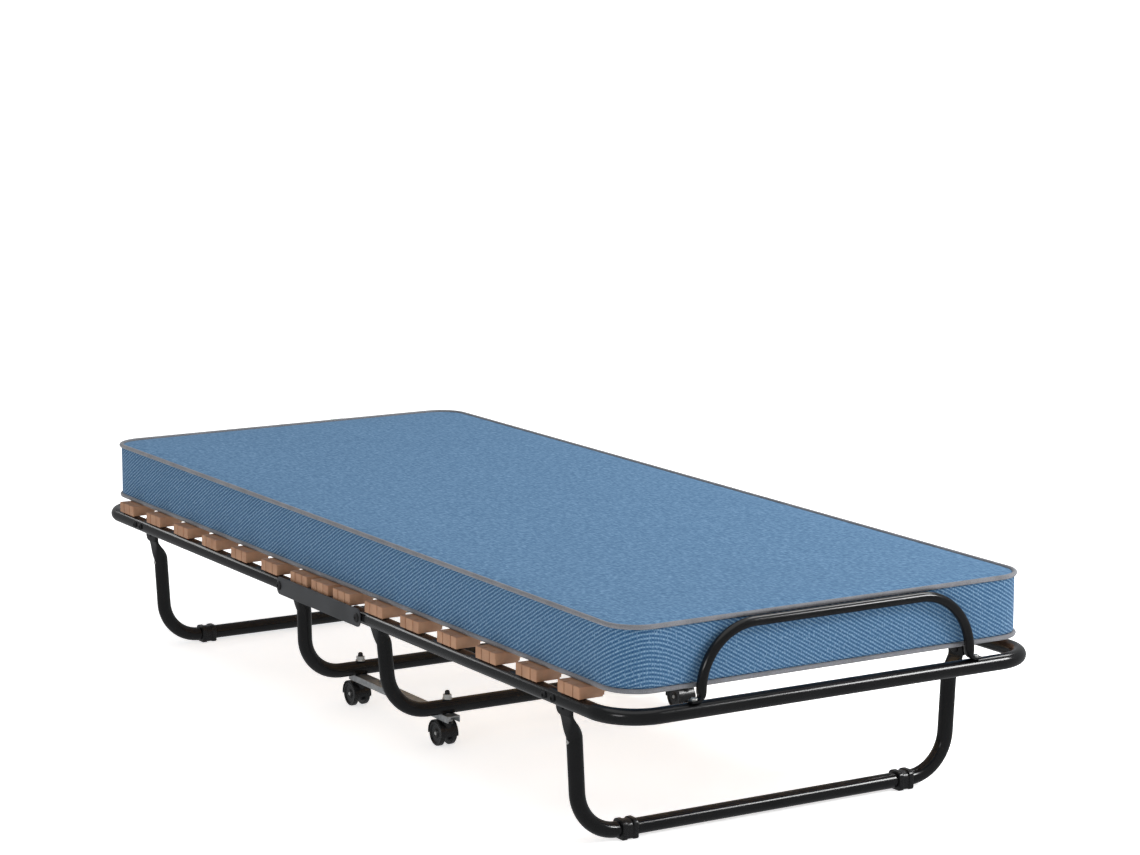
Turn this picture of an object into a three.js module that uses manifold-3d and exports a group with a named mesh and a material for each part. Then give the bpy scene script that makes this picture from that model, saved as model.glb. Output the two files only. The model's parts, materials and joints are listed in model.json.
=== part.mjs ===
// Folding cot: two slatted half-frames hinged to a castered centre trolley, with folding end legs and a mattress.
//
// Frame: millimetres, +X from head to foot, +Z up, origin on the floor under the middle of the bed.
// Rest pose: the bed is open, both end legs are down.

import * as THREE from "three";
import { mergeVertices } from "three/addons/utils/BufferGeometryUtils.js";
import Module from "manifold-3d";

const wasm = await Module();
wasm.setup();

// ---------------------------------------------------------------- driving dimensions

const GAP = 0.3; // clearance between pieces that touch
const PIN_GAP = 0.4; // radial clearance of a turning pin in its hole

const FRAME_LENGTH = 1900; // over the end crossbars
const FRAME_WIDTH = 800; // over the side rails
const FRAME_TUBE = 25.4; // diameter of the frame tube
const FRAME_CORNER = 70; // centre-line radius of a frame corner
const RAIL_HEIGHT = 240; // floor to the rail's centre line
const TAIL = 38; // rail past its hinge

const HINGE_SPACING = 290; // between the two hinge axes
const HINGE_PIN = 8; // diameter
const RIVET_HEAD = 16;
const RIVET_HEAD_T = 2.6;

const PLATE_T = 3;
const PLATE_HEIGHT = 31;
const PLATE_END = 9.5; // plate past the hinge axis
const PLATE_CORNER = 7;
const SHELF_DEPTH = 22; // inward shelf under the middle slats
const SHELF_T = 2;

const LEG_TUBE = 25.4;
const LEG_BEND = 72; // centre-line radius of the lower bends
const FLAT_T = 6; // flattened upper end, thickness
const FLAT_WIDTH = 34; // flattened upper end, width
const FLAT_LENGTH = 30; // straight flattened run
const JOG_LENGTH = 34; // run in which the tube moves from the tab to the post
const POST_INSET = 33; // post centre line inside the rail's centre line
const POST_TAPER = 3; // degrees each post leans inwards on its way down

const END_LEG_INSET = 192; // frame's end to the end-leg pivot and crossbar
const LEG_PIVOT_DROP = 20; // pivot below the rail's centre line
const BRACKET_T = 3;
const BRACKET_WIDTH = 42;
const BRACKET_BOLT_SPACING = 25;
const BRACKET_BOLT = 6;
const LEG_PIN = 8;

const FOOT_WALL = 3; // clamp under the tube
const FOOT_LENGTH = 28; // along the tube
const FOOT_Y = 262;

const TROLLEY_BAR_HEIGHT = 70.5; // floor to the centre leg's crossbar
const TROLLEY_BAR_OUT = 13; // crossbar beyond its hinge axis

const TIE_WIDTH = 24;
const TIE_HEIGHT = 11;
const TIE_WALL = 2;
const TIE_OVERHANG = 22; // past the stem

const CASTER_Y = 240;
const STEM_D = 8;
const COLLAR_D = 14;
const WHEEL_D = 43;
const WHEEL_WIDTH = 9.5;
const CASTER_WIDTH = 32; // over both wheels
const CASTER_TRAIL = 15;
const CASTER_WEB = 10.4;
const AXLE_D = 6;
const HOOD_T = 1.7;
const HOOD_GAP = 0.8;
const BOSS_D = 12.6;
const NUT_AF = 13;
const NUT_HEIGHT = 8;
const NUT_DOME_D = 8.4;
const NUT_DOME_H = 7;

const SLAT_WIDTH = 53;
const SLAT_T = 8;
const CAP_WIDTH = 62;
const CAP_HEIGHT = 19;
const CAP_LENGTH = 42;
const CAP_INSET = 1.5; // cap end inside the frame's outer side
const CAP_EDGE = 2.2;
const SLATS_PER_HALF = 6;
const FIRST_SLAT_OUT = 50; // hinge axis to the half-frame's first slat
const LAST_SLAT_INSET = 137; // frame's end to the last slat
const MID_SLAT_PITCH = 80;

const MATTRESS_INSET = 25; // frame's side to the mattress
const MATTRESS_T = 101;
const MATTRESS_CORNER = 55;
const FOLD_GAP = 1; // each mattress face to the fold plane

const LOOP_TUBE = 16;
const LOOP_WIDTH = 497; // between the loop's side runs, centre to centre
const LOOP_BEND = 95;
const LOOP_RISE = 110.3; // rail's top to the top run's centre line
const LOOP_OUT = 5.7; // loop beyond the crossbar's centre line
const LOOP_GAP = 5; // mattress end to loop
const LOOP_TAB = 20; // foot tab past the side run
const LOOP_TAB_T = 4;
const LOOP_TAB_W = 15;

const CLIP_REACH = 85.86; // between the loops' top runs with both halves folded up
const CLIP_OVERHANG = 24; // strap past its free hook
const CLIP_WIDTH = 26; // along the loop tube
const CLIP_WALL = 3;
const CLIP_MOUTH = 110; // degrees open
const CLIP_Y = 120;

// ---------------------------------------------------------------- derived places

const R_FRAME = FRAME_TUBE / 2;
const R_LEG = LEG_TUBE / 2;
const R_LOOP = LOOP_TUBE / 2;
const RAIL_Y = FRAME_WIDTH / 2 - R_FRAME;
const BAR_X = FRAME_LENGTH / 2 - R_FRAME;
const HINGE_X = HINGE_SPACING / 2;
const TROLLEY_BAR_X = HINGE_X + TROLLEY_BAR_OUT;
const END_LEG_X = FRAME_LENGTH / 2 - END_LEG_INSET;
const RAIL_TOP = RAIL_HEIGHT + R_FRAME;
const RAIL_INNER = RAIL_Y - R_FRAME;
const RAIL_OUTER = RAIL_Y + R_FRAME;
const PLATE_IN = RAIL_OUTER + GAP;
const PLATE_OUT = PLATE_IN + PLATE_T;
const HINGE_TAB_Y = RAIL_INNER - GAP - FLAT_T / 2;
const BRACKET_OUT = RAIL_INNER - GAP;
const BRACKET_IN = BRACKET_OUT - BRACKET_T;
const END_TAB_Y = BRACKET_IN - GAP - FLAT_T / 2;
const LEG_PIVOT_Z = RAIL_HEIGHT - LEG_PIVOT_DROP;
const END_BAR_Z = FOOT_WALL + R_LEG;
const CAP_BOTTOM = RAIL_TOP + GAP;
const CAP_OUTER = RAIL_OUTER - CAP_INSET;
const MATTRESS_BOTTOM = CAP_BOTTOM + CAP_HEIGHT + GAP;
const TROLLEY_BAR_TOP = TROLLEY_BAR_HEIGHT + R_LEG;
const TIE_TOP = TROLLEY_BAR_HEIGHT - R_LEG - GAP;
const LOOP_X = BAR_X + LOOP_OUT;
const LOOP_TOP = RAIL_TOP + LOOP_RISE;
const MATTRESS_LENGTH = 2 * (LOOP_X - R_LOOP - LOOP_GAP);
const MATTRESS_WIDTH = FRAME_WIDTH - 2 * MATTRESS_INSET;
const FIRST_SLAT_X = HINGE_X + FIRST_SLAT_OUT;
const SLAT_PITCH = (FRAME_LENGTH / 2 - LAST_SLAT_INSET - FIRST_SLAT_X) / (SLATS_PER_HALF - 1);
const HOOD_R = WHEEL_D / 2 + HOOD_GAP;
const HOOD_TOP = WHEEL_D / 2 + HOOD_R + HOOD_T;

// ---------------------------------------------------------------- materials

const paint = (color, roughness, metalness) =>
  new THREE.MeshStandardMaterial({ color, roughness, metalness });
const MATERIAL = {
  frame: paint(0x141415, 0.22, 0.35),
  plate: paint(0x3c3d3e, 0.45, 0.3),
  zinc: paint(0xb5b5b2, 0.35, 0.9),
  rivet: paint(0x4a4b4c, 0.4, 0.7),
  plastic: paint(0x161617, 0.5, 0),
  slat: paint(0xc9a67a, 0.6, 0),
  fabric: paint(0x5a7fa8, 0.9, 0),
  clip: paint(0xe8e9ea, 0.4, 0),
};

// ---------------------------------------------------------------- solid helpers

/** A closed three.js geometry as a manifold solid. */
function solid(geometry) {
  const g = geometry.index ? geometry.toNonIndexed() : geometry.clone();
  g.deleteAttribute("normal");
  g.deleteAttribute("uv");
  const m = mergeVertices(g, 1e-4);
  return new wasm.Manifold(
    new wasm.Mesh({
      numProp: 3,
      vertProperties: new Float32Array(m.attributes.position.array),
      triVerts: new Uint32Array(m.index.array),
    }),
  );
}

/** A manifold solid as a three.js geometry with flat normals. */
function geometryOf(shape) {
  const mesh = shape.getMesh();
  const g = new THREE.BufferGeometry()
    .setAttribute("position", new THREE.BufferAttribute(new Float32Array(mesh.vertProperties), 3))
    .setIndex(new THREE.BufferAttribute(new Uint32Array(mesh.triVerts), 1));
  g.computeVertexNormals();
  return g;
}

const join = (first, ...rest) => rest.reduce((a, b) => a.add(b), first);
const cut = (first, ...tools) => tools.reduce((a, b) => a.subtract(b), first);

/** Axis-aligned box between two corners. */
function box([x0, y0, z0], [x1, y1, z1]) {
  const g = new THREE.BoxGeometry(x1 - x0, y1 - y0, z1 - z0);
  return solid(g.translate((x0 + x1) / 2, (y0 + y1) / 2, (z0 + z1) / 2));
}

/** Cylinder along "x", "y" or "z", from low to high on that axis, centred on the other two. */
function rod(axis, radius, low, high, [a, b], sides = 10) {
  const g = new THREE.CylinderGeometry(radius, radius, high - low, sides);
  const middle = (low + high) / 2;
  if (axis === "x") g.rotateZ(Math.PI / 2).translate(middle, a, b);
  if (axis === "y") g.translate(a, middle, b);
  if (axis === "z") g.rotateX(Math.PI / 2).translate(a, b, middle);
  return solid(g);
}

/** Prism of a shape drawn in (x, z), extruded along Y from low to high. */
function prismY(shape, low, high, curveSegments = 8) {
  const g = new THREE.ExtrudeGeometry(shape, { depth: high - low, bevelEnabled: false, curveSegments });
  return solid(g.rotateX(Math.PI / 2).translate(0, high, 0));
}

/** Prism of a shape drawn in (x, y), extruded along Z from low to high. */
function prismZ(shape, low, high, curveSegments = 8) {
  const g = new THREE.ExtrudeGeometry(shape, { depth: high - low, bevelEnabled: false, curveSegments });
  return solid(g.translate(0, 0, low));
}

/** Rectangle with corner radii [low-low, high-low, high-high, low-high]. */
function roundRect(x0, y0, x1, y1, radii) {
  const [a, b, c, d] = Array.isArray(radii) ? radii : [radii, radii, radii, radii];
  const s = new THREE.Shape();
  s.moveTo(x0 + a, y0);
  s.lineTo(x1 - b, y0);
  if (b) s.absarc(x1 - b, y0 + b, b, -Math.PI / 2, 0);
  s.lineTo(x1, y1 - c);
  if (c) s.absarc(x1 - c, y1 - c, c, 0, Math.PI / 2);
  s.lineTo(x0 + d, y1);
  if (d) s.absarc(x0 + d, y1 - d, d, Math.PI / 2, Math.PI);
  s.lineTo(x0, y0 + a);
  if (a) s.absarc(x0 + a, y0 + a, a, Math.PI, 1.5 * Math.PI);
  return s;
}

/** Polyline with rounded corners, as a curve path of lines and arcs. */
function filleted(points, radii) {
  const path = new THREE.CurvePath();
  let from = points[0];
  for (let i = 1; i < points.length - 1; i++) {
    const back = points[i - 1].clone().sub(points[i]).normalize();
    const on = points[i + 1].clone().sub(points[i]).normalize();
    const half = back.angleTo(on) / 2;
    const reach = radii[i - 1] / Math.tan(half);
    const start = points[i].clone().addScaledVector(back, reach);
    const end = points[i].clone().addScaledVector(on, reach);
    const centre = points[i]
      .clone()
      .addScaledVector(back.clone().add(on).normalize(), radii[i - 1] / Math.sin(half));
    path.add(new THREE.LineCurve3(from, start));
    path.add(new Arc3(centre, start, end));
    from = end;
  }
  path.add(new THREE.LineCurve3(from, points.at(-1)));
  return path;
}

/** Circular arc about a centre from one point to another. */
class Arc3 extends THREE.Curve {
  constructor(centre, start, end) {
    super();
    this.centre = centre;
    this.u = start.clone().sub(centre);
    const w = end.clone().sub(centre);
    this.angle = this.u.angleTo(w);
    this.v = new THREE.Vector3()
      .crossVectors(new THREE.Vector3().crossVectors(this.u, w), this.u)
      .setLength(this.u.length());
  }
  getPoint(t, target = new THREE.Vector3()) {
    const a = t * this.angle;
    return target.copy(this.centre).addScaledVector(this.u, Math.cos(a)).addScaledVector(this.v, Math.sin(a));
  }
}

/**
 * Sweeps a section along a planar path and closes both ends.
 * section(d, total) gives [half size in the plane, half size across it, squareness] at distance d from the start.
 */
function sweep(path, planeNormal, section, { sides = 12, bendStep = 16, breaks = [] } = {}) {
  const total = path.curves.reduce((sum, c) => sum + c.getLength(), 0);
  const stops = new Set([0, total]);
  let run = 0;
  for (const curve of path.curves) {
    const length = curve.getLength();
    const steps = curve instanceof Arc3 ? Math.max(2, Math.round((curve.angle * 180) / Math.PI / bendStep)) : 1;
    for (let i = 1; i <= steps; i++) stops.add(run + (length * i) / steps);
    run += length;
  }
  for (const d of breaks) stops.add(d).add(total - d);
  const distances = [...stops].sort((a, b) => a - b).filter((d, i, all) => i === 0 || d - all[i - 1] > 0.4);
  const pointAt = (d) => {
    let left = Math.min(Math.max(d, 0), total);
    for (const curve of path.curves) {
      const length = curve.getLength();
      if (left <= length + 1e-6 || curve === path.curves.at(-1)) {
        const t = Math.min(left / length, 1);
        return [curve.getPoint(t), curve.getTangent(t)];
      }
      left -= length;
    }
  };
  const position = [];
  const index = [];
  distances.forEach((d) => {
    const [p, tangent] = pointAt(d);
    const inPlane = new THREE.Vector3().crossVectors(tangent, planeNormal).normalize();
    const [a, b, squareness] = section(d, total);
    for (let k = 0; k < sides; k++) {
      const angle = (2 * Math.PI * k) / sides;
      const c = Math.cos(angle);
      const s = Math.sin(angle);
      const e = 2 / squareness;
      const x = a * Math.sign(c) * Math.abs(c) ** e;
      const y = b * Math.sign(s) * Math.abs(s) ** e;
      const q = p.clone().addScaledVector(inPlane, x).addScaledVector(planeNormal, y);
      position.push(q.x, q.y, q.z);
    }
  });
  const rings = distances.length;
  for (let i = 0; i + 1 < rings; i++)
    for (let k = 0; k < sides; k++) {
      const [a, b] = [i * sides + k, i * sides + ((k + 1) % sides)];
      index.push(a, b, a + sides, b, b + sides, a + sides);
    }
  for (const [ring, turned] of [[0, true], [rings - 1, false]]) {
    const [p] = pointAt(distances[ring]);
    position.push(p.x, p.y, p.z);
    const centre = position.length / 3 - 1;
    for (let k = 0; k < sides; k++) {
      const [a, b] = [ring * sides + k, ring * sides + ((k + 1) % sides)];
      index.push(...(turned ? [centre, b, a] : [centre, a, b]));
    }
  }
  const g = new THREE.BufferGeometry()
    .setAttribute("position", new THREE.Float32BufferAttribute(position, 3))
    .setIndex(index);
  const made = solid(g);
  if (made.volume() > 0) return made;
  for (let i = 0; i < index.length; i += 3) [index[i + 1], index[i + 2]] = [index[i + 2], index[i + 1]];
  return solid(g.setIndex(index));
}

const smooth = (t) => {
  const x = Math.min(Math.max(t, 0), 1);
  return x * x * (3 - 2 * x);
};
const mix = (a, b, t) => a + (b - a) * t;
const range = (n) => [...Array(n).keys()];
const V = (x, y, z) => new THREE.Vector3(x, y, z);
const X_AXIS = V(1, 0, 0);
const Z_AXIS = V(0, 0, 1);

const part = new THREE.Group();

/** Adds one named piece. */
function add(name, shape, material) {
  const mesh = new THREE.Mesh(geometryOf(shape), material.clone());
  mesh.name = name;
  part.add(mesh);
}

/** The solid turned half a turn about the vertical axis, which swaps head and foot. */
const turned = (shape) => shape.rotate([0, 0, 180]);
const mirroredY = (shape) => shape.mirror([0, 1, 0]);

// ---------------------------------------------------------------- centre trolley

/** Side plate on the +Y side: a web outside both tails and a shelf between them. */
function sidePlate() {
  const end = HINGE_X + PLATE_END;
  const low = RAIL_HEIGHT - PLATE_HEIGHT / 2;
  const high = RAIL_HEIGHT + PLATE_HEIGHT / 2;
  const web = prismY(roundRect(-end, low, end, high, PLATE_CORNER), PLATE_IN, PLATE_OUT, 3);
  const shelfEnd = HINGE_X - Math.hypot(TAIL, R_FRAME) - 2;
  const shelf = box(
    [-shelfEnd, PLATE_IN - SHELF_DEPTH, RAIL_TOP - SHELF_T],
    [shelfEnd, PLATE_IN + PLATE_T / 2, RAIL_TOP],
  );
  const hole = (x) => rod("y", HINGE_PIN / 2 + GAP, PLATE_IN - 5, PLATE_OUT + 5, [x, RAIL_HEIGHT]);
  return cut(join(web, shelf), hole(-HINGE_X), hole(HINGE_X));
}

/** Half sizes of a leg tube whose ends are pressed into flat tabs with round ends. */
function legSection(d, total) {
  const near = Math.min(d, total - d);
  const flat = 1 - smooth((near - FLAT_LENGTH) / JOG_LENGTH);
  const tip = FLAT_WIDTH / 2;
  const rounding = near < tip ? Math.sqrt(Math.max(tip ** 2 - (tip - near) ** 2, (0.3 * tip) ** 2)) / tip : 1;
  return [mix(R_LEG, FLAT_T / 2, flat), mix(R_LEG, tip, flat) * rounding, mix(2, 6, flat)];
}
const LEG_BREAKS = [
  ...[0.12, 0.4, 1].map((t) => (t * FLAT_WIDTH) / 2),
  ...range(4).map((i) => FLAT_LENGTH + (JOG_LENGTH * i) / 3),
];

/** U-shaped leg in the plane X = 0: pin centre height, tab Y and crossbar height. */
function leg(pinZ, tabY, barZ) {
  const top = pinZ + FLAT_WIDTH / 2;
  const jogTop = top - FLAT_LENGTH;
  const jogLow = jogTop - JOG_LENGTH;
  const postY = RAIL_Y - POST_INSET;
  const barY = postY - (jogLow - barZ) * Math.tan(THREE.MathUtils.degToRad(POST_TAPER));
  const side = [V(0, tabY, top), V(0, tabY, jogTop), V(0, postY, jogLow), V(0, barY, barZ)];
  const other = side.map((p) => V(0, -p.y, p.z)).reverse();
  const path = filleted([...side, ...other], [18, 18, LEG_BEND, LEG_BEND, 18, 18]);
  return sweep(path, X_AXIS, legSection, { breaks: LEG_BREAKS });
}

/** Centre leg under the foot-side hinge, leaning out to its crossbar. */
function centreLeg() {
  const drop = RAIL_HEIGHT - TROLLEY_BAR_HEIGHT;
  const lean = Math.atan2(TROLLEY_BAR_X - HINGE_X, drop);
  const length = Math.hypot(TROLLEY_BAR_X - HINGE_X, drop);
  const upright = leg(0, HINGE_TAB_Y, -length);
  const placed = upright.rotate([0, -THREE.MathUtils.radToDeg(lean), 0]).translate([HINGE_X, 0, RAIL_HEIGHT]);
  const tab = FLAT_T / 2 + 5;
  const pinHole = rod("y", HINGE_PIN / 2 + GAP, HINGE_TAB_Y - tab, HINGE_TAB_Y + tab, [HINGE_X, RAIL_HEIGHT]);
  const stemHole = rod("z", STEM_D / 2 + GAP, TIE_TOP - 5, TROLLEY_BAR_TOP + 5, [TROLLEY_BAR_X, CASTER_Y]);
  return cut(placed, pinHole, mirroredY(pinHole), stemHole, mirroredY(stemHole));
}

/** Hinge pin on the +Y side at the foot hinge, with a head at each end. */
function hingePin() {
  const inner = HINGE_TAB_Y - FLAT_T / 2 - GAP;
  const outer = PLATE_OUT + GAP;
  const at = [HINGE_X, RAIL_HEIGHT];
  return join(
    rod("y", HINGE_PIN / 2, inner - 1, outer + 1, at),
    rod("y", RIVET_HEAD / 2, inner - RIVET_HEAD_T, inner, at),
    rod("y", RIVET_HEAD / 2, outer, outer + RIVET_HEAD_T, at),
  );
}

/** Tie bar on the +Y side: a channel, open below, held by two caster stems. */
function tieBar() {
  const half = TROLLEY_BAR_X + TIE_OVERHANG;
  const [y0, y1] = [CASTER_Y - TIE_WIDTH / 2, CASTER_Y + TIE_WIDTH / 2];
  const body = box([-half, y0, TIE_TOP - TIE_HEIGHT], [half, y1, TIE_TOP]);
  const inside = box(
    [-half - 1, y0 + TIE_WALL, TIE_TOP - TIE_HEIGHT - 1],
    [half + 1, y1 - TIE_WALL, TIE_TOP - TIE_WALL],
  );
  const hole = (x) => rod("z", STEM_D / 2 + GAP, TIE_TOP - TIE_HEIGHT, TIE_TOP + 1, [x, CASTER_Y]);
  return cut(body, inside, hole(-TROLLEY_BAR_X), hole(TROLLEY_BAR_X));
}

// ---------------------------------------------------------------- casters, at the origin of their stem

const SOCKET_FLOOR = WHEEL_D / 2 - 3;
const COLLAR_TOP = TIE_TOP - TIE_WALL - GAP;

function casterStem() {
  const top = TROLLEY_BAR_TOP + GAP + NUT_HEIGHT - 2;
  const bolt = rod("z", STEM_D / 2, SOCKET_FLOOR + GAP, top, [0, 0]);
  return join(bolt, rod("z", COLLAR_D / 2, HOOD_TOP + GAP, COLLAR_TOP, [0, 0], 6));
}

function capNut() {
  const base = TROLLEY_BAR_TOP + GAP;
  const hex = rod("z", NUT_AF / Math.sqrt(3), base, base + NUT_HEIGHT, [0, 0], 6);
  const dome = new THREE.LatheGeometry(
    [
      new THREE.Vector2(0, base + NUT_HEIGHT - 1),
      new THREE.Vector2(NUT_DOME_D / 2, base + NUT_HEIGHT - 1),
      new THREE.Vector2(NUT_DOME_D / 2, base + NUT_HEIGHT + NUT_DOME_H * 0.5),
      new THREE.Vector2(NUT_DOME_D * 0.38, base + NUT_HEIGHT + NUT_DOME_H * 0.85),
      new THREE.Vector2(0, base + NUT_HEIGHT + NUT_DOME_H),
    ],
    8,
  ).rotateX(Math.PI / 2);
  const bore = rod("z", STEM_D / 2 + GAP, base - 1, base + NUT_HEIGHT - 2 + GAP, [0, 0]);
  return cut(join(hex, facingOut(dome)), bore);
}

/** A closed geometry as a solid, turned outwards if its profile ran the other way. */
function facingOut(geometry) {
  const made = solid(geometry);
  if (made.volume() > 0) return made;
  const g = mergeVertices(geometry.deleteAttribute("normal").deleteAttribute("uv"), 1e-4);
  const i = g.index.array;
  for (let k = 0; k < i.length; k += 3) [i[k + 1], i[k + 2]] = [i[k + 2], i[k + 1]];
  return solid(g);
}

/** Swivel housing: web between the wheels, boss for the stem and a hood over both wheels. */
function casterHousing() {
  const axle = [-CASTER_TRAIL, WHEEL_D / 2];
  const web = new THREE.Shape();
  web.absarc(axle[0], axle[1], WHEEL_D * 0.32, 0, 2 * Math.PI);
  const plate = prismY(web, -CASTER_WEB / 2, CASTER_WEB / 2, 8);
  const filler = box([-CASTER_TRAIL, -CASTER_WEB / 2, axle[1] - 4], [0, CASTER_WEB / 2, axle[1] + HOOD_R - 3]);
  const boss = rod("z", BOSS_D / 2, SOCKET_FLOOR - 3, HOOD_TOP, [0, 0]);
  const arc = new THREE.Shape();
  const [low, high] = [-0.12, Math.PI + 0.12];
  arc.absarc(axle[0], axle[1], HOOD_R + HOOD_T, low, high, false);
  arc.absarc(axle[0], axle[1], HOOD_R, high, low, true);
  const hood = prismY(arc, -CASTER_WIDTH / 2 - 0.4, CASTER_WIDTH / 2 + 0.4, 9);
  const rib = new THREE.Shape();
  rib.absarc(axle[0], axle[1], HOOD_R + 0.5, 0.3, Math.PI - 0.3, false);
  rib.lineTo(axle[0], axle[1]);
  const fin = prismY(rib, -CASTER_WEB / 2, CASTER_WEB / 2, 9);
  return cut(
    join(plate, filler, fin, hood, boss),
    rod("z", STEM_D / 2 + PIN_GAP, SOCKET_FLOOR, HOOD_TOP + 1, [0, 0]),
    rod("y", AXLE_D / 2 + PIN_GAP, -CASTER_WIDTH, CASTER_WIDTH, axle),
  );
}

function casterWheels() {
  const axle = [-CASTER_TRAIL, WHEEL_D / 2];
  const outer = CASTER_WIDTH / 2;
  const disc = (low, high) => rod("y", WHEEL_D / 2, low, high, axle, 20);
  return join(
    rod("y", AXLE_D / 2, -outer, outer, axle),
    disc(outer - WHEEL_WIDTH, outer),
    disc(-outer, WHEEL_WIDTH - outer),
  );
}

// ---------------------------------------------------------------- half-frames

/** Foot half-frame: tail, rail, rounded corners and crossbar, with round end plugs. */
function halfFrame() {
  const tail = HINGE_X - TAIL;
  const z = RAIL_HEIGHT;
  const path = filleted(
    [V(tail, -RAIL_Y, z), V(BAR_X, -RAIL_Y, z), V(BAR_X, RAIL_Y, z), V(tail, RAIL_Y, z)],
    [FRAME_CORNER, FRAME_CORNER],
  );
  const plug = 5;
  const section = (d, total) => {
    const near = Math.min(d, total - d, plug);
    const r = R_FRAME - plug + Math.sqrt(Math.max(plug ** 2 - (plug - near) ** 2, 0));
    return [r, r, 2];
  };
  const tube = sweep(path, Z_AXIS, section, { breaks: [1.2, plug] });
  const hinge = rod("y", HINGE_PIN / 2 + PIN_GAP, RAIL_INNER - 5, RAIL_OUTER + 5, [HINGE_X, z]);
  const bolts = [-1, 1].map((side) =>
    rod("y", BRACKET_BOLT / 2 + GAP, RAIL_INNER - 5, RAIL_OUTER + 5, [
      END_LEG_X + (side * BRACKET_BOLT_SPACING) / 2,
      z,
    ], 8),
  );
  return cut(tube, ...[hinge, ...bolts].flatMap((hole) => [hole, mirroredY(hole)]));
}

/** Mattress loop standing on the foot crossbar, with a flat foot tab at each end. */
function loop() {
  const half = LOOP_WIDTH / 2;
  const foot = RAIL_TOP + GAP + LOOP_TAB_T / 2;
  const path = filleted(
    [
      V(0, -half - LOOP_TAB, foot),
      V(0, -half, foot),
      V(0, -half, LOOP_TOP),
      V(0, half, LOOP_TOP),
      V(0, half, foot),
      V(0, half + LOOP_TAB, foot),
    ],
    [9, LOOP_BEND, LOOP_BEND, 9],
  );
  const section = (d, total) => {
    const flat = 1 - smooth((Math.min(d, total - d) - LOOP_TAB * 0.75) / 18);
    return [mix(R_LOOP, LOOP_TAB_T / 2, flat), mix(R_LOOP, LOOP_TAB_W / 2, flat), mix(2, 6, flat)];
  };
  const breaks = range(4).map((i) => LOOP_TAB * 0.75 + 6 * i);
  return sweep(path, X_AXIS, section, { sides: 10, breaks }).translate([LOOP_X, 0, 0]);
}

/** End-leg bracket on the +Y foot rail: plate, two bolts through the rail, and the leg's pivot rivet. */
function legBracket() {
  const [half, low, high] = [BRACKET_WIDTH / 2, LEG_PIVOT_Z - 13, RAIL_HEIGHT + 10];
  const plate = prismY(
    roundRect(END_LEG_X - half, low, END_LEG_X + half, high, [12, 12, 4, 4]),
    BRACKET_IN,
    BRACKET_OUT,
    3,
  );
  const bolts = [-1, 1].flatMap((side) => {
    const at = [END_LEG_X + (side * BRACKET_BOLT_SPACING) / 2, RAIL_HEIGHT];
    return [
      rod("y", BRACKET_BOLT / 2, BRACKET_IN + 1, RAIL_OUTER + GAP + 1, at, 8),
      rod("y", BRACKET_BOLT, RAIL_OUTER + GAP, RAIL_OUTER + GAP + 2.4, at, 8),
    ];
  });
  const inner = END_TAB_Y - FLAT_T / 2 - GAP;
  const at = [END_LEG_X, LEG_PIVOT_Z];
  return join(
    plate,
    ...bolts,
    rod("y", LEG_PIN / 2, inner - 1, BRACKET_IN + 1, at),
    rod("y", LEG_PIN, inner - RIVET_HEAD_T, inner, at),
  );
}

/** Foot end leg, down, with the holes for its two pivots. */
function endLeg() {
  const reach = FLAT_T / 2 + 5;
  const hole = rod("y", LEG_PIN / 2 + PIN_GAP, END_TAB_Y - reach, END_TAB_Y + reach, [END_LEG_X, LEG_PIVOT_Z]);
  return cut(leg(LEG_PIVOT_Z, END_TAB_Y, END_BAR_Z).translate([END_LEG_X, 0, 0]), hole, mirroredY(hole));
}

/** Foot clamp round the end leg's crossbar, standing on the floor. */
function footClamp() {
  const half = R_LEG + FOOT_WALL;
  const block = roundRect(END_LEG_X - half, 0, END_LEG_X + half, 2 * half, [5, 5, 7, 7]);
  return cut(
    prismY(block, FOOT_Y - FOOT_LENGTH / 2, FOOT_Y + FOOT_LENGTH / 2, 3),
    rod("y", R_LEG + GAP, FOOT_Y - FOOT_LENGTH, FOOT_Y + FOOT_LENGTH, [END_LEG_X, END_BAR_Z], 16),
  );
}

// ---------------------------------------------------------------- slats and mattress

/** One slat with a cap at each end, at X = 0. */
function slat() {
  const top = CAP_BOTTOM + CAP_HEIGHT;
  const wood = CAP_BOTTOM + (CAP_HEIGHT - SLAT_T) / 2;
  const inner = CAP_OUTER - CAP_LENGTH;
  const end = prismY(roundRect(-CAP_WIDTH / 2, CAP_BOTTOM, CAP_WIDTH / 2, top, CAP_EDGE), inner, CAP_OUTER, 1);
  const board = box([-SLAT_WIDTH / 2, -inner - 1, wood], [SLAT_WIDTH / 2, inner + 1, wood + SLAT_T]);
  return join(board, end, mirroredY(end));
}

/** Distance in X from a hinge axis to the mattress's cut face at a height. */
const notch = (z) => z - RAIL_HEIGHT + FOLD_GAP;
const MATTRESS_TOP = MATTRESS_BOTTOM + MATTRESS_T;

function mattressMiddle() {
  const s = new THREE.Shape();
  const low = HINGE_X - notch(MATTRESS_BOTTOM);
  const high = HINGE_X - notch(MATTRESS_TOP);
  s.moveTo(-low, MATTRESS_BOTTOM);
  s.lineTo(low, MATTRESS_BOTTOM);
  s.lineTo(high, MATTRESS_TOP);
  s.lineTo(-high, MATTRESS_TOP);
  return prismY(s, -MATTRESS_WIDTH / 2, MATTRESS_WIDTH / 2);
}

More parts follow.
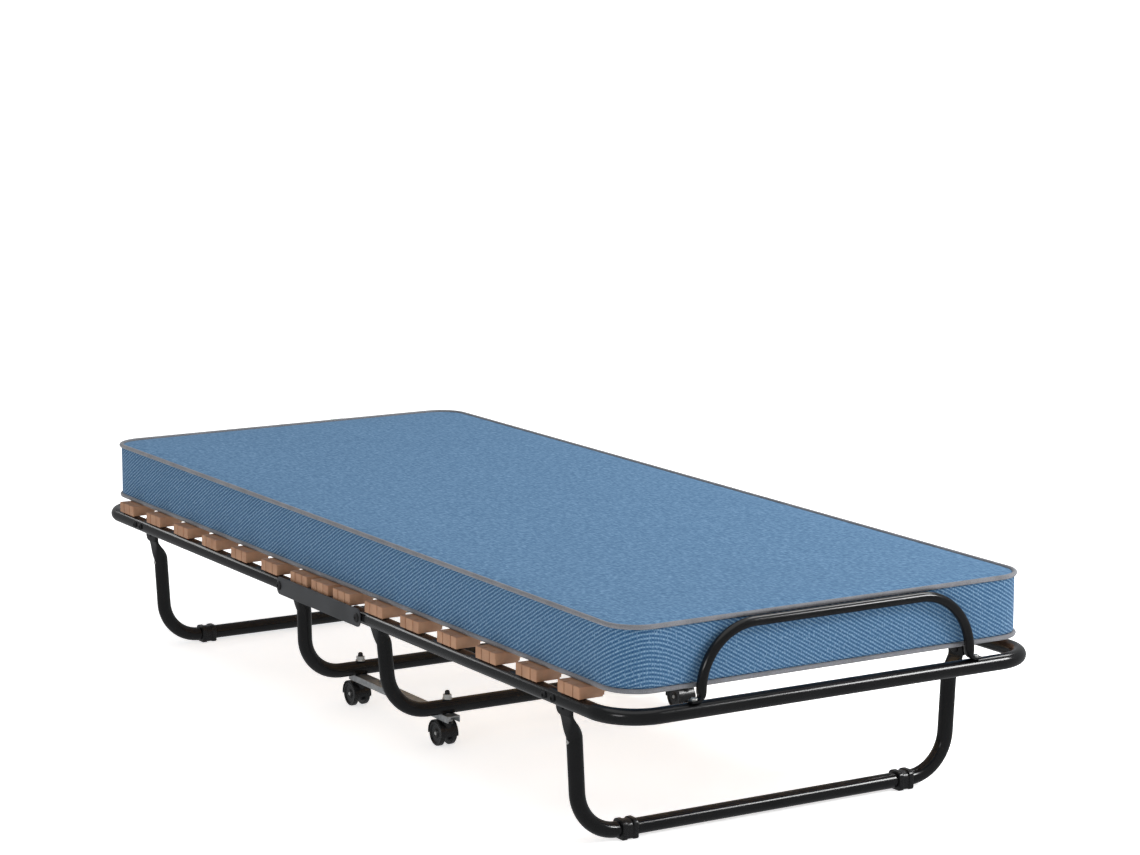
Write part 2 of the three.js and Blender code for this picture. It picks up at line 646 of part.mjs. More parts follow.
/** Foot half of the mattress, with two rounded corners and a slanted face at the hinge. */
function mattressHalf() {
  const side = new THREE.Shape();
  const end = MATTRESS_LENGTH / 2;
  side.moveTo(HINGE_X + notch(MATTRESS_BOTTOM), MATTRESS_BOTTOM);
  side.lineTo(end + 10, MATTRESS_BOTTOM);
  side.lineTo(end + 10, MATTRESS_TOP);
  side.lineTo(HINGE_X + notch(MATTRESS_TOP), MATTRESS_TOP);
  const w = MATTRESS_WIDTH / 2;
  const plan = roundRect(0, -w, end, w, [0, MATTRESS_CORNER, MATTRESS_CORNER, 0]);
  return prismY(side, -w - 10, w + 10).intersect(
    prismZ(plan, MATTRESS_BOTTOM - 10, MATTRESS_TOP + 10, 7),
  );
}

// ---------------------------------------------------------------- clip

/** Two-hook clip hanging from the head loop's top run, between the loop and the mattress end. */
function clip() {
  const [y0, y1] = [CLIP_Y - CLIP_WIDTH / 2, CLIP_Y + CLIP_WIDTH / 2];
  const inside = R_LOOP + GAP;
  const outside = inside + CLIP_WALL;
  const closed = Math.PI - THREE.MathUtils.degToRad(CLIP_MOUTH / 2);
  const hook = (z) => {
    const c = new THREE.Shape();
    c.absarc(-LOOP_X, z, outside, -closed, closed, false);
    c.absarc(-LOOP_X, z, inside, closed, -closed, true);
    return prismY(c, y0, y1, 10);
  };
  const strap = box(
    [-LOOP_X + inside, y0, LOOP_TOP - CLIP_REACH - CLIP_OVERHANG],
    [-LOOP_X + outside, y1, LOOP_TOP + 1],
  );
  return join(strap, hook(LOOP_TOP), hook(LOOP_TOP - CLIP_REACH));
}

// ---------------------------------------------------------------- assembly

const PLATE = sidePlate();
add("side_plate_back", PLATE, MATERIAL.plate);
add("side_plate_front", mirroredY(PLATE), MATERIAL.plate);

const TIE = tieBar();
add("tie_bar_back", TIE, MATERIAL.zinc);
add("tie_bar_front", mirroredY(TIE), MATERIAL.zinc);

const [STEM, NUT, HOUSING, WHEELS] = [casterStem(), capNut(), casterHousing(), casterWheels()];
const [PIN, BRACKET, CLAMP, SLAT] = [hingePin(), legBracket(), footClamp(), slat()];
const SLAT_XS = range(SLATS_PER_HALF).map((i) => FIRST_SLAT_X + i * SLAT_PITCH);

range(3).forEach((i) => {
  add(`slat_middle_${i + 1}`, SLAT.translate([(i - 1) * MID_SLAT_PITCH, 0, 0]), MATERIAL.slat);
});
add("mattress_middle", mattressMiddle(), MATERIAL.fabric);

for (const end of ["foot", "head"]) {
  const place = end === "foot" ? (s) => s : turned;
  const x = end === "foot" ? TROLLEY_BAR_X : -TROLLEY_BAR_X;
  add(`centre_leg_${end}`, place(centreLeg()), MATERIAL.frame);
  add(`half_frame_${end}`, place(halfFrame()), MATERIAL.frame);
  add(`mattress_loop_${end}`, place(loop()), MATERIAL.frame);
  add(`end_leg_${end}`, place(endLeg()), MATERIAL.frame);
  add(`mattress_${end}`, place(mattressHalf()), MATERIAL.fabric);
  SLAT_XS.forEach((at, i) => {
    add(`slat_${end}_${i + 1}`, place(SLAT.translate([at, 0, 0])), MATERIAL.slat);
  });
  for (const side of ["front", "back"]) {
    const flip = (side === "back") === (end === "foot") ? (s) => s : mirroredY;
    const y = side === "back" ? CASTER_Y : -CASTER_Y;
    add(`hinge_pin_${end}_${side}`, place(flip(PIN)), MATERIAL.rivet);
    add(`leg_bracket_${end}_${side}`, place(flip(BRACKET)), MATERIAL.rivet);
    add(`foot_clamp_${end}_${side}`, place(flip(CLAMP)), MATERIAL.plastic);
    add(`caster_stem_${end}_${side}`, STEM.translate([x, y, 0]), MATERIAL.zinc);
    add(`cap_nut_${end}_${side}`, NUT.translate([x, y, 0]), MATERIAL.zinc);
    add(`caster_housing_${end}_${side}`, HOUSING.translate([x, y, 0]), MATERIAL.plastic);
    add(`caster_wheels_${end}_${side}`, WHEELS.translate([x, y, 0]), MATERIAL.plastic);
  }
}
add("loop_clip", clip(), MATERIAL.clip);

export default part;
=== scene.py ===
"""Looks of a folding cot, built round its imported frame.

Metres, +X from head to foot, +Z up, origin on the floor under the middle of the open bed. Tubes, caps, casters and
fittings are finer copies of the frame's own pieces, and the mattress is a cloth-simulated cover over a foam pad.
"""

import json
import logging
import math
from collections.abc import Callable
from dataclasses import dataclass
from enum import Enum

import bmesh
import bpy
import numpy as np
from mathutils import Matrix, Vector


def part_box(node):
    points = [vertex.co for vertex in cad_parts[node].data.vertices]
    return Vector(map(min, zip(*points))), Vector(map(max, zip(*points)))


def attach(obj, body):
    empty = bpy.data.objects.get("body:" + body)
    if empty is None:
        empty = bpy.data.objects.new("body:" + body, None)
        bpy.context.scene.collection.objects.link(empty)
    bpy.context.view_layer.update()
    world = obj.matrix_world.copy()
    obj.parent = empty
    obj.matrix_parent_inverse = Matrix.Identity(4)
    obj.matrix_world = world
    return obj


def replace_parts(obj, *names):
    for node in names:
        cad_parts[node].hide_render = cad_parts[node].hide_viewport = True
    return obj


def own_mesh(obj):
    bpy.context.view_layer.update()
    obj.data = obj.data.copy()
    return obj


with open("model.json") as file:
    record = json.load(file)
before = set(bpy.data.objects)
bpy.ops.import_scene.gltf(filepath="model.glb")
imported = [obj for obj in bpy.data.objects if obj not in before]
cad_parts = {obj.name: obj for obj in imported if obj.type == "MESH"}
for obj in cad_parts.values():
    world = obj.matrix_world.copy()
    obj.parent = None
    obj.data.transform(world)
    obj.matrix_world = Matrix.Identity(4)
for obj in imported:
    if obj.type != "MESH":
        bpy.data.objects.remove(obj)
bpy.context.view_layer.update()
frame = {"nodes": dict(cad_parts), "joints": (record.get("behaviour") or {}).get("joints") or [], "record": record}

LOG = logging.getLogger("cot")
MM = 0.001
JOINTS = {j["name"]: j for j in frame["joints"]}
REST_GAP = 0.0003  # between pieces that rest on each other
ORIGIN = (0, 0, 0)
ACROSS = np.array([1, -1, 1])  # mirrors in the bed's middle plane


class End(Enum):
    """The two ends of the bed. The head end is the foot end turned half a turn about the vertical axis."""

    FOOT = "foot"
    HEAD = "head"


class Side(Enum):
    """The two long sides. The front side is the back side mirrored in the bed's middle plane."""

    BACK = "back"
    FRONT = "front"


# ---------------------------------------------------------------- shader nodes


def linear(hex_colour: str) -> tuple[float, float, float, float]:
    """An sRGB hex colour as linear RGBA.

    Args:
        hex_colour: Six hex digits.

    Returns:
        Linear red, green, blue and an alpha of 1.
    """
    c = np.array([int(hex_colour[i : i + 2], 16) for i in (0, 2, 4)]) / 255
    low, high = c / 12.92, ((c + 0.055) / 1.055) ** 2.4
    return (*(float(v) for v in np.where(c <= 0.04045, low, high)), 1.0)


@dataclass
class Graph:
    """The node tree of one new material: its Principled shader, and the object's own coordinates or a UV map's."""

    name: str
    uv: str = ""

    def __post_init__(self) -> None:
        """Makes the material, its shader and its coordinates."""
        self.material = bpy.data.materials.new(self.name)
        self.material.use_nodes = True
        self.tree = self.material.node_tree
        self.tree.nodes.clear()
        surface = self.add("BsdfPrincipled")
        self.shader = surface.node
        self.add("OutputMaterial", {"Surface": surface})
        self.where = self.add("UVMap", uv_map=self.uv) if self.uv else self.add("TexCoord", out="Object")

    def add(
        self, kind: str, inputs: dict | None = None, out: int | str = 0, stops: tuple = (), **settings
    ) -> bpy.types.NodeSocket | None:
        """Adds a node.

        Args:
            kind: The node's type name, less its "ShaderNode".
            inputs: Socket name or index to a value, or to an output socket to link from.
            out: Which of its outputs to return.
            stops: A colour ramp's (place, linear colour) pairs.
            settings: Properties of the node itself.

        Returns:
            The output, if the node has one.
        """
        made = self.tree.nodes.new("ShaderNode" + kind)
        for key, value in settings.items():
            setattr(made, key, value)
        for key, value in (inputs or {}).items():
            self.feed(made.inputs[key], value)
        if stops:
            band = made.color_ramp.elements
            while len(band) < len(stops):
                band.new(0.5)
            for element, (place, colour) in zip(band, stops):
                element.position, element.color = place, colour
        return made.outputs[out] if made.outputs else None

    def feed(self, socket: bpy.types.NodeSocket, value) -> None:
        """Sets a socket to a value, or links an output socket to it."""
        if isinstance(value, bpy.types.NodeSocket):
            self.tree.links.new(value, socket)
        else:
            socket.default_value = value

    def finish(self, **sockets) -> bpy.types.Material:
        """Feeds the shader's sockets, named with _ for a space, and returns the material."""
        for key, value in sockets.items():
            self.feed(self.shader.inputs[key.replace("_", " ")], value)
        return self.material


# ---------------------------------------------------------------- finishes


@dataclass(frozen=True)
class PowderCoat:
    """Polyester powder coat, sprayed and baked on steel.

    It flows into a skin with a faint orange peel about 2 mm across, so long highlights stay sharp but waver a little.
    """

    name: str
    colour: str = "09090a"
    roughness: float = 0.16
    peel: float = 0.012 * MM

    def make(self) -> bpy.types.Material:
        """Returns the coat with its peel, and handling marks that dull the gloss in patches."""
        g = Graph(self.name)
        peel = g.add("TexNoise", {"Vector": g.where, "Scale": 420, "Detail": 1})
        marks = g.add("TexNoise", {"Vector": g.where, "Scale": 14, "Detail": 4})
        base = linear(self.colour)
        worn = tuple(min(1.0, v * 1.5 + 0.002) for v in base[:3]) + (1.0,)
        return g.finish(
            Base_Color=g.add("ValToRGB", {0: marks}, stops=((0.35, base), (0.75, worn))),
            Roughness=g.add("MapRange", {0: marks, 3: self.roughness * 0.8, 4: self.roughness * 1.5}),
            IOR=1.42,
            Normal=g.add("Bump", {"Height": peel, "Distance": self.peel, "Strength": 1.0}),
        )


@dataclass(frozen=True)
class Galvanised:
    """Hot-dip galvanised sheet steel: zinc crystals 3 to 8 mm across, each reflecting a little differently."""

    name: str
    light: str = "bcbebf"
    dark: str = "96999b"

    def make(self) -> bpy.types.Material:
        """Returns the spangled zinc."""
        g = Graph(self.name)
        crystals = g.add("TexVoronoi", {"Vector": g.where, "Scale": 190.0}, out="Color")
        cloud = g.add("TexNoise", {"Vector": g.where, "Scale": 60, "Detail": 3})
        tone = g.add("Mix", {0: 0.4, 2: crystals, 3: cloud})
        return g.finish(
            Base_Color=g.add("ValToRGB", {0: tone}, stops=((0.2, linear(self.dark)), (0.8, linear(self.light)))),
            Metallic=0.7,
            Roughness=g.add("MapRange", {0: tone, 3: 0.3, 4: 0.5}),
            Normal=g.add("Bump", {"Height": tone, "Distance": 0.03 * MM, "Strength": 1.0}),
        )


@dataclass(frozen=True)
class ZincPlate:
    """Bright zinc plate on turned or headed steel: fine rings from the tool under a thin, even skin."""

    name: str
    colour: str = "dcdcd9"
    roughness: float = 0.26

    def make(self) -> bpy.types.Material:
        """Returns the plate with its fine turning marks."""
        g = Graph(self.name)
        rings = g.add("Mapping", {"Vector": g.where, "Scale": (1, 1, 5)})
        fine = g.add("TexNoise", {"Vector": rings, "Scale": 900, "Detail": 2})
        shade = tuple(v * 0.7 for v in linear(self.colour)[:3]) + (1.0,)
        return g.finish(
            Base_Color=g.add("ValToRGB", {0: fine}, stops=((0.3, shade), (0.7, linear(self.colour)))),
            Metallic=0.8,
            Roughness=g.add("MapRange", {0: fine, 3: self.roughness, 4: self.roughness + 0.14}),
            Normal=g.add("Bump", {"Height": fine, "Distance": 0.01 * MM, "Strength": 1.0}),
        )


@dataclass(frozen=True)
class MouldedPlastic:
    """Injection-moulded plastic with a spark-eroded mould grain; flow leaves slow, faint changes of tone."""

    name: str
    colour: str
    second: str
    roughness: float = 0.42
    grain: float = 0.6 * MM
    depth: float = 0.03 * MM
    subsurface: float = 0.0
    clear: float = 0.0

    def make(self) -> bpy.types.Material:
        """Returns the plastic with its grain and flow tones."""
        g = Graph(self.name)
        grain = g.add("TexNoise", {"Vector": g.where, "Scale": 1 / self.grain, "Detail": 2})
        flow = g.add("TexNoise", {"Vector": g.where, "Scale": 34, "Detail": 3})
        tones = ((0.3, linear(self.colour)), (0.72, linear(self.second)))
        return g.finish(
            Base_Color=g.add("ValToRGB", {0: flow}, stops=tones),
            Roughness=g.add("MapRange", {0: grain, 3: self.roughness - 0.06, 4: self.roughness + 0.1}),
            IOR=1.49,
            Subsurface_Weight=self.subsurface,
            Subsurface_Scale=0.004,
            Transmission_Weight=self.clear,
            Normal=g.add("Bump", {"Height": grain, "Distance": self.depth, "Strength": 1.0}),
        )


@dataclass(frozen=True)
class BeechBoard:
    """Steamed beech veneer board under thin lacquer: pale, straight grain along Y with short dark ray flecks."""

    name: str
    light: str = "dfc29b"
    dark: str = "c7a176"
    fleck: str = "a87c52"

    def make(self) -> bpy.types.Material:
        """Returns the wood. Grain lines are 1 to 3 mm apart, and ray flecks 2 to 4 mm long."""
        g = Graph(self.name)
        wide, fine, rays = (
            g.add(
                "TexNoise",
                {"Vector": g.add("Mapping", {"Vector": g.where, "Scale": (1, along, 1)}), "Scale": scale, "Detail": detail},
            )
            for along, scale, detail in ((0.04, 110, 4), (0.025, 620, 3), (0.22, 900, 1))
        )
        lines = g.add("Mix", {0: 0.45, 2: wide, 3: fine})
        wood = g.add("ValToRGB", {0: lines}, stops=((0.34, linear(self.dark)), (0.62, linear(self.light))))
        spots = g.add("Math", {0: rays, 1: 0.66}, operation="GREATER_THAN")
        share = g.add("Math", {0: spots, 1: 0.5}, operation="MULTIPLY")
        return g.finish(
            Base_Color=g.add("Mix", {0: share, 6: wood, 7: linear(self.fleck)}, out=2, data_type="RGBA"),
            Roughness=g.add("MapRange", {0: fine, 3: 0.34, 4: 0.5}),
            IOR=1.5,
            Normal=g.add("Bump", {"Height": lines, "Distance": 0.05 * MM, "Strength": 1.0}),
        )


@dataclass(frozen=True)
class KnitTop:
    """Melange polyester knit over foam: two shades of yarn mixed, so the top is flecked, with short pale fibres."""

    name: str
    shade: str = "41678a"
    light: str = "7094b5"
    base: str = "53799b"
    yarn: float = 1.1 * MM

    def make(self) -> bpy.types.Material:
        """Returns the knit. Its stitches are drawn 2.2 mm apart, coarser than real ones, so that they show."""
        g = Graph(self.name)
        across, along = (
            g.add(
                "TexNoise",
                {"Vector": g.add("Mapping", {"Vector": g.where, "Scale": stretch}), "Scale": scale, "Detail": 3},
            )
            for stretch, scale in (((0.35, 1, 1), 260), ((1, 0.35, 1), 300))
        )
        cloud = g.add("TexNoise", {"Vector": g.where, "Scale": 9, "Detail": 4})
        melange = g.add("Mix", {0: 0.5, 2: across, 3: along})
        tones = ((0.38, linear(self.shade)), (0.5, linear(self.base)), (0.64, linear(self.light)))
        tone = g.add("ValToRGB", {0: melange}, stops=tones)
        dulled = g.add("MapRange", {0: cloud, 3: 0.0, 4: 0.3})
        loops = g.add("TexVoronoi", {"Vector": g.where, "Scale": 1 / (2 * self.yarn)}, out="Distance")
        fibre = g.add("TexNoise", {"Vector": g.where, "Scale": 1300, "Detail": 2})
        height = g.add("Mix", {0: 0.4, 2: loops, 3: fibre})
        under = g.add("Bump", {"Height": melange, "Distance": 0.3 * MM, "Strength": 1.0})
        return g.finish(
            Base_Color=g.add("Mix", {0: dulled, 6: tone, 7: linear(self.shade)}, out=2, data_type="RGBA"),
            Roughness=0.88,
            Sheen_Weight=0.05,
            Sheen_Roughness=0.5,
            IOR=1.3,
            Normal=g.add("Bump", {"Height": height, "Distance": 0.25 * MM, "Strength": 1.0, "Normal": under}),
        )


@dataclass(frozen=True)
class TwillSide:
    """Coarse woven twill border: raised ribs about 6 mm apart, spun from pale and dark yarn with bright slubs.

    The UV map "weave" holds metres across the ribs, and metres along them. The valleys between the ribs carry painted
    shade.
    """

    name: str
    pitch: float = 5.6 * MM
    stitch: float = 4.4 * MM
    # darkest stop: painted shade for the valleys between the ribs
    valley_shade: str = "20436a"
    rib: str = "446888"
    slub: str = "86a4bd"

    def make(self) -> bpy.types.Material:
        """Returns the ribbed cloth: a sine across the ribs, broken along them by the yarn's twist; the same sine
        paints shade into the valleys and leaves the crests lighter.
        """
        g = Graph(self.name, "weave")
        split = g.add("SeparateXYZ", {0: g.where}).node.outputs
        wander = g.add("TexNoise", {"Vector": g.where, "Scale": 60, "Detail": 3})
        centred = g.add("Math", {0: wander, 1: 0.5}, operation="SUBTRACT")
        across = g.add("Math", {0: centred, 1: 2.2 * MM, 2: split[0]}, operation="MULTIPLY_ADD")
        wave, steps = (
            g.add("Math", {0: g.add("Math", {0: run, 1: 2 * math.pi / size}, operation="MULTIPLY")}, operation="SINE")
            for run, size in ((across, self.pitch), (split[1], self.stitch))
        )
        ribs = g.add("Math", {0: wave, 1: 0.5, 2: 0.5}, operation="MULTIPLY_ADD")
        crossed = g.add("Math", {0: steps, 1: wave}, operation="MULTIPLY")
        cells = g.add("Math", {0: crossed, 1: 0.5, 2: 0.5}, operation="MULTIPLY_ADD")
        yarn, twist = (
            g.add(
                "TexNoise",
                {"Vector": g.add("Mapping", {"Vector": g.where, "Scale": stretch}), "Scale": scale, "Detail": detail},
            )
            for stretch, scale, detail in (((1, 0.45, 1), 520, 3), ((0.5, 1, 1), 330, 2))
        )
        woven = g.add("Mix", {0: 0.3, 2: ribs, 3: cells})
        # the rib wave painted into the colour: darker in the valleys as painted shade, lighter on the crests
        light = g.add("Math", {0: woven, 1: 0.6}, operation="MULTIPLY")
        mixed = g.add("Math", {0: yarn, 1: 0.55, 2: light}, operation="MULTIPLY_ADD")
        tones = ((0.24, linear(self.valley_shade)), (0.62, linear(self.rib)), (0.98, linear(self.slub)))
        colour = g.add("ValToRGB", {0: mixed}, stops=tones)
        bright = g.add("Math", {0: twist, 1: 0.64}, operation="GREATER_THAN")
        flecks = g.add("Math", {0: bright, 1: 0.45}, operation="MULTIPLY")
        height = g.add("Math", {0: yarn, 1: 0.5, 2: woven}, operation="MULTIPLY_ADD")
        return g.finish(
            Base_Color=g.add("Mix", {0: flecks, 6: colour, 7: linear(self.slub)}, out=2, data_type="RGBA"),
            Roughness=0.9,
            Sheen_Weight=0.05,
            Sheen_Roughness=0.5,
            IOR=1.3,
            Normal=g.add("Bump", {"Height": height, "Distance": 0.9 * MM, "Strength": 1.0}),
        )


@dataclass(frozen=True)
class WovenTape:
    """Folded polyester binding tape round a cord: fine cross ribs, slightly shiny."""

    name: str
    colour: str = "7b7c80"
    dark: str = "606166"

    def make(self) -> bpy.types.Material:
        """Returns the tape. Its ribs are drawn 1.2 mm apart, coarser than real ones, so that they show."""
        g = Graph(self.name)
        cross = g.add("Mapping", {"Vector": g.where, "Scale": (1, 1, 0.4)})
        ribs = g.add("TexNoise", {"Vector": cross, "Scale": 820, "Detail": 2})
        slow = g.add("TexNoise", {"Vector": g.where, "Scale": 30, "Detail": 3})
        tone = g.add("Mix", {0: 0.4, 2: ribs, 3: slow})
        return g.finish(
            Base_Color=g.add("ValToRGB", {0: tone}, stops=((0.35, linear(self.dark)), (0.6, linear(self.colour)))),
            Roughness=0.8,
            Sheen_Weight=0.15,
            Normal=g.add("Bump", {"Height": ribs, "Distance": 0.15 * MM, "Strength": 1.0}),
        )


class Paints:
    """Every finish of the cot, made once."""

    def __init__(self) -> None:
        """Makes the materials."""
        self.tube = PowderCoat("gloss_powder_coat").make()
        self.plate = PowderCoat("satin_powder_coat", "353638", 0.42, 0.012 * MM).make()
        self.bracket = PowderCoat("black_e_coat", "101011", 0.34, 0.01 * MM).make()
        self.tie = Galvanised("galvanised_steel").make()
        self.zinc = ZincPlate("zinc_plated_steel").make()
        self.nylon = MouldedPlastic("moulded_black_nylon", "0b0b0c", "131314", 0.26).make()
        tan = MouldedPlastic("moulded_tan_polypropylene", "9a7155", "ae8466", 0.5, 0.7 * MM, 0.05 * MM, 0.04)
        self.cap = tan.make()
        milky = MouldedPlastic("milky_polypropylene", "dcdfe2", "eceef0", 0.3, 0.9 * MM, 0.02 * MM, 0.25, 0.25)
        self.clip = milky.make()
        self.wood = BeechBoard("lacquered_beech").make()
        self.top = KnitTop("melange_knit").make()
        self.side = TwillSide("ribbed_twill").make()
        self.tape = WovenTape("binding_tape").make()


# ---------------------------------------------------------------- surfaces


def put(name: str, data: bpy.types.ID | None) -> bpy.types.Object:
    """Puts data into the scene as a new object."""
    made = bpy.data.objects.new(name, data)
    bpy.context.scene.collection.objects.link(made)
    return made


@dataclass(frozen=True)
class Shape:
    """Vertices and faces of one or more closed shells."""

    verts: np.ndarray
    faces: list[tuple[int, ...]]

    def moved(self, x: float = 0, y: float = 0, z: float = 0) -> "Shape":
        """The shape moved."""
        return Shape(self.verts + np.array([x, y, z]), self.faces)

    def mapped(self, matrix: Matrix) -> "Shape":
        """The shape carried by a 4x4 matrix."""
        m = np.array(matrix)
        return Shape(self.verts @ m[:3, :3].T + m[:3, 3], self.faces)

    def at(self, end: End = End.FOOT, side: Side = Side.BACK) -> "Shape":
        """The foot end's back piece, carried to an end and a side."""
        x, y = (1, 1) if end is End.FOOT else (-1, -1)
        if (side is Side.BACK) != (end is End.FOOT):
            y = -y
        return Shape(self.verts * np.array([x, y, 1.0]), self.faces)

    def __add__(self, other: "Shape") -> "Shape":
        """Both shapes in one, as separate shells."""
        n = len(self.verts)
        shifted = [tuple(i + n for i in f) for f in other.faces]
        return Shape(np.vstack([self.verts, other.verts]), [*self.faces, *shifted])

    def both_sides(self) -> "Shape":
        """The shape with its mirror in the bed's middle plane."""
        return self + Shape(self.verts * ACROSS, self.faces)

    def piece(
        self, name: str, paint: bpy.types.Material, body: str, slot: str, replaces: tuple = ()
    ) -> bpy.types.Object:
        """Makes the shape an object that rides on a body.

        Args:
            name: The piece's name.
            paint: Its material.
            body: The body that carries it.
            slot: The record's material slot; not used.
            replaces: CAD nodes that it stands for.

        Returns:
            The new object.
        """
        mesh = bpy.data.meshes.new(name)
        mesh.from_pydata(self.verts.tolist(), [], self.faces)
        bm = bmesh.new()
        bm.from_mesh(mesh)
        bmesh.ops.recalc_face_normals(bm, faces=bm.faces)
        bm.to_mesh(mesh)
        bm.free()
        mesh.polygons.foreach_set("use_smooth", np.ones(len(mesh.polygons), bool))
        mesh.set_sharp_from_angle(angle=math.radians(38))
        mesh.materials.append(paint)
        made = put(name, mesh)
        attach(made, body)
        if replaces:
            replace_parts(made, *replaces)
        LOG.info("%s: %d faces on %s", name, len(mesh.polygons), body)
        return made


def ring_faces(rings: int, sides: int, caps: bool = True) -> list[tuple[int, ...]]:
    """Faces of `rings` closed rings of `sides` vertices, joined in order, with flat caps at both ends.

    Args:
        rings: Number of rings.
        sides: Vertices in each ring.
        caps: Whether the two ends are closed.

    Returns:
        Index tuples.
    """
    i, k = np.meshgrid(np.arange(rings - 1), np.arange(sides), indexing="ij")
    a, b = i * sides + k, i * sides + (k + 1) % sides
    quads = np.stack([a, b, b + sides, a + sides], -1).reshape(-1, 4)
    faces = [tuple(q) for q in quads.tolist()]
    if caps:
        faces += [tuple(range(sides))[::-1], tuple(range((rings - 1) * sides, rings * sides))]
    return faces


def fillet_path(points: list[tuple], radii: list[float], step: float = 4.0) -> np.ndarray:
    """A polyline with each corner turned into an arc.

    Args:
        points: Corner points and both ends.
        radii: One radius for each inner point.
        step: Degrees between points on an arc.

    Returns:
        Points (n, 3) along lines and arcs.
    """
    p = np.array(points, float)
    out = [p[0]]
    for i, radius in enumerate(radii, 1):
        back, on = p[i - 1] - p[i], p[i + 1] - p[i]
        back, on = back / np.linalg.norm(back), on / np.linalg.norm(on)
        half = math.acos(np.clip(back @ on, -1, 1)) / 2
        middle = (back + on) / np.linalg.norm(back + on)
        centre = p[i] + middle * radius / math.sin(half)
        start, end = p[i] + back * radius / math.tan(half), p[i] + on * radius / math.tan(half)
        u, turn = start - centre, math.pi - 2 * half
        v = np.cross(np.cross(u, end - centre), u)
        v = v / np.linalg.norm(v) * radius
        t = np.linspace(0, turn, max(3, round(math.degrees(turn) / step)) + 1)[:, None]
        out.extend(centre + u * np.cos(t) + v * np.sin(t))
    out.append(p[-1])
    return np.array(out)


def mirrored_path(half: list[tuple], radii: list[float]) -> np.ndarray:
    """A filleted path down one side of the bed and back up the other, from the points and radii of one side."""
    other = [(x, -y, z) for x, y, z in half[::-1]]
    return fillet_path([*half, *other], radii + radii[::-1])


def distance_along(path: np.ndarray) -> np.ndarray:
    """Distance from the start at each point of a path."""
    return np.concatenate([[0], np.cumsum(np.linalg.norm(np.diff(path, axis=0), axis=1))])


def with_stops(path: np.ndarray, stops: np.ndarray) -> np.ndarray:
    """The path with extra points at the given distances from both its ends."""
    d = distance_along(path)
    every = np.unique(np.concatenate([d, stops, d[-1] - stops]).clip(0, d[-1]).round(6))
    return np.stack([np.interp(every, d, path[:, k]) for k in range(3)], 1)


def sweep(
    path: np.ndarray,
    normal: tuple[float, float, float],
    section: Callable[[np.ndarray], tuple[np.ndarray, np.ndarray, np.ndarray]],
    sides: int = 36,
) -> Shape:
    """Carries a superellipse along a path in one plane.

    A point at angle t is a |cos t|^(2/q) in the plane and b |sin t|^(2/q) across it.

    Args:
        path: Points (n, 3).
        normal: The plane's normal.
        section: Gives a, b and q at the distances to the nearer end.
        sides: Points round the section.

    Returns:
        A closed tube.
    """
    tangent = np.gradient(path, distance_along(path), axis=0)
    tangent /= np.linalg.norm(tangent, axis=1)[:, None]
    n = np.array(normal, float)
    inward = np.cross(tangent, n)
    d = distance_along(path)
    a, b, q = section(np.minimum(d, d[-1] - d))
    t = np.linspace(0, 2 * math.pi, sides, endpoint=False)
    c, s = np.cos(t), np.sin(t)
    power = (2 / q)[:, None]
    x = a[:, None] * np.sign(c) * np.abs(c) ** power
    y = b[:, None] * np.sign(s) * np.abs(s) ** power
    rings = path[:, None] + x[..., None] * inward[:, None] + y[..., None] * n
    return Shape(rings.reshape(-1, 3), ring_faces(len(path), sides))


def round_tube(path: np.ndarray, normal: tuple, radius: float, sides: int = 36, edge: float = 0.0) -> Shape:
    """A tube of one radius, whose ends round off over the last `edge` metres."""
    ends = with_stops(path, edge * (1 - np.cos(np.linspace(0, math.pi / 2, 6)))) if edge else path

    def section(near: np.ndarray) -> tuple[np.ndarray, np.ndarray, np.ndarray]:
        """Radius less the edge's own quarter circle."""
        e = max(edge, 1e-9)
        r = radius - edge + np.sqrt(np.maximum(e**2 - (e - np.minimum(near, e)) ** 2, 0)) * (edge > 0)
        return r, r, np.full_like(r, 2.0)

    return sweep(ends, normal, section, sides)


def lathe(profile: list[tuple[float, float]], axis: str, centre: tuple, sides: int = 40) -> Shape:
    """Turns a profile about an axis.

    Args:
        profile: (radius, height) pairs from one end on the axis to the other.
        axis: "x", "y" or "z".
        centre: The point where height is 0.
        sides: Points round the axis.

    Returns:
        A closed shape of revolution.
    """
    rh = np.array(profile, float)
    t = np.linspace(0, 2 * math.pi, sides, endpoint=False)
    r, h = np.maximum(rh[:, 0], 1e-6)[:, None], rh[:, 1][:, None]
    u, v, w = r * np.cos(t), r * np.sin(t), h + 0 * t
    order = {"x": (w, u, v), "y": (v, w, u), "z": (u, v, w)}[axis]
    verts = np.stack(order, -1).reshape(-1, 3) + np.array(centre)
    return Shape(verts, ring_faces(len(rh), sides))


def rod(radius: float, low: float, high: float, axis: str, centre: tuple, sides: int = 24) -> Shape:
    """A plain round rod between two heights on an axis."""
    return lathe([(0, low), (radius, low), (radius, high), (0, high)], axis, centre, sides)


def rounded_outline(width: float, height: float, radii: list[float], steps: int = 8) -> np.ndarray:
    """A rectangle about the origin with a radius at each corner: right-top, left-top, left-bottom, right-bottom."""
    w, h = width / 2, height / 2
    signs = np.array([(1, 1), (-1, 1), (-1, -1), (1, -1)], float)
    r = np.array(radii, float)[:, None]
    t = np.arange(4)[:, None] * math.pi / 2 + np.linspace(0, math.pi / 2, steps + 1)[None]
    x = signs[:, :1] * (w - r) + r * np.cos(t)
    y = signs[:, 1:] * (h - r) + r * np.sin(t)
    return np.stack([x, y], -1).reshape(-1, 2)


def inset(outline: np.ndarray, by: float) -> np.ndarray:
    """An outline moved inwards along its corner bisectors."""
    before, after = outline - np.roll(outline, 1, 0), np.roll(outline, -1, 0) - outline
    unit = lambda v: v / np.maximum(np.linalg.norm(v, axis=1), 1e-12)[:, None]
    turn = unit(unit(before) + unit(after))
    return outline + np.stack([-turn[:, 1], turn[:, 0]], 1) * by


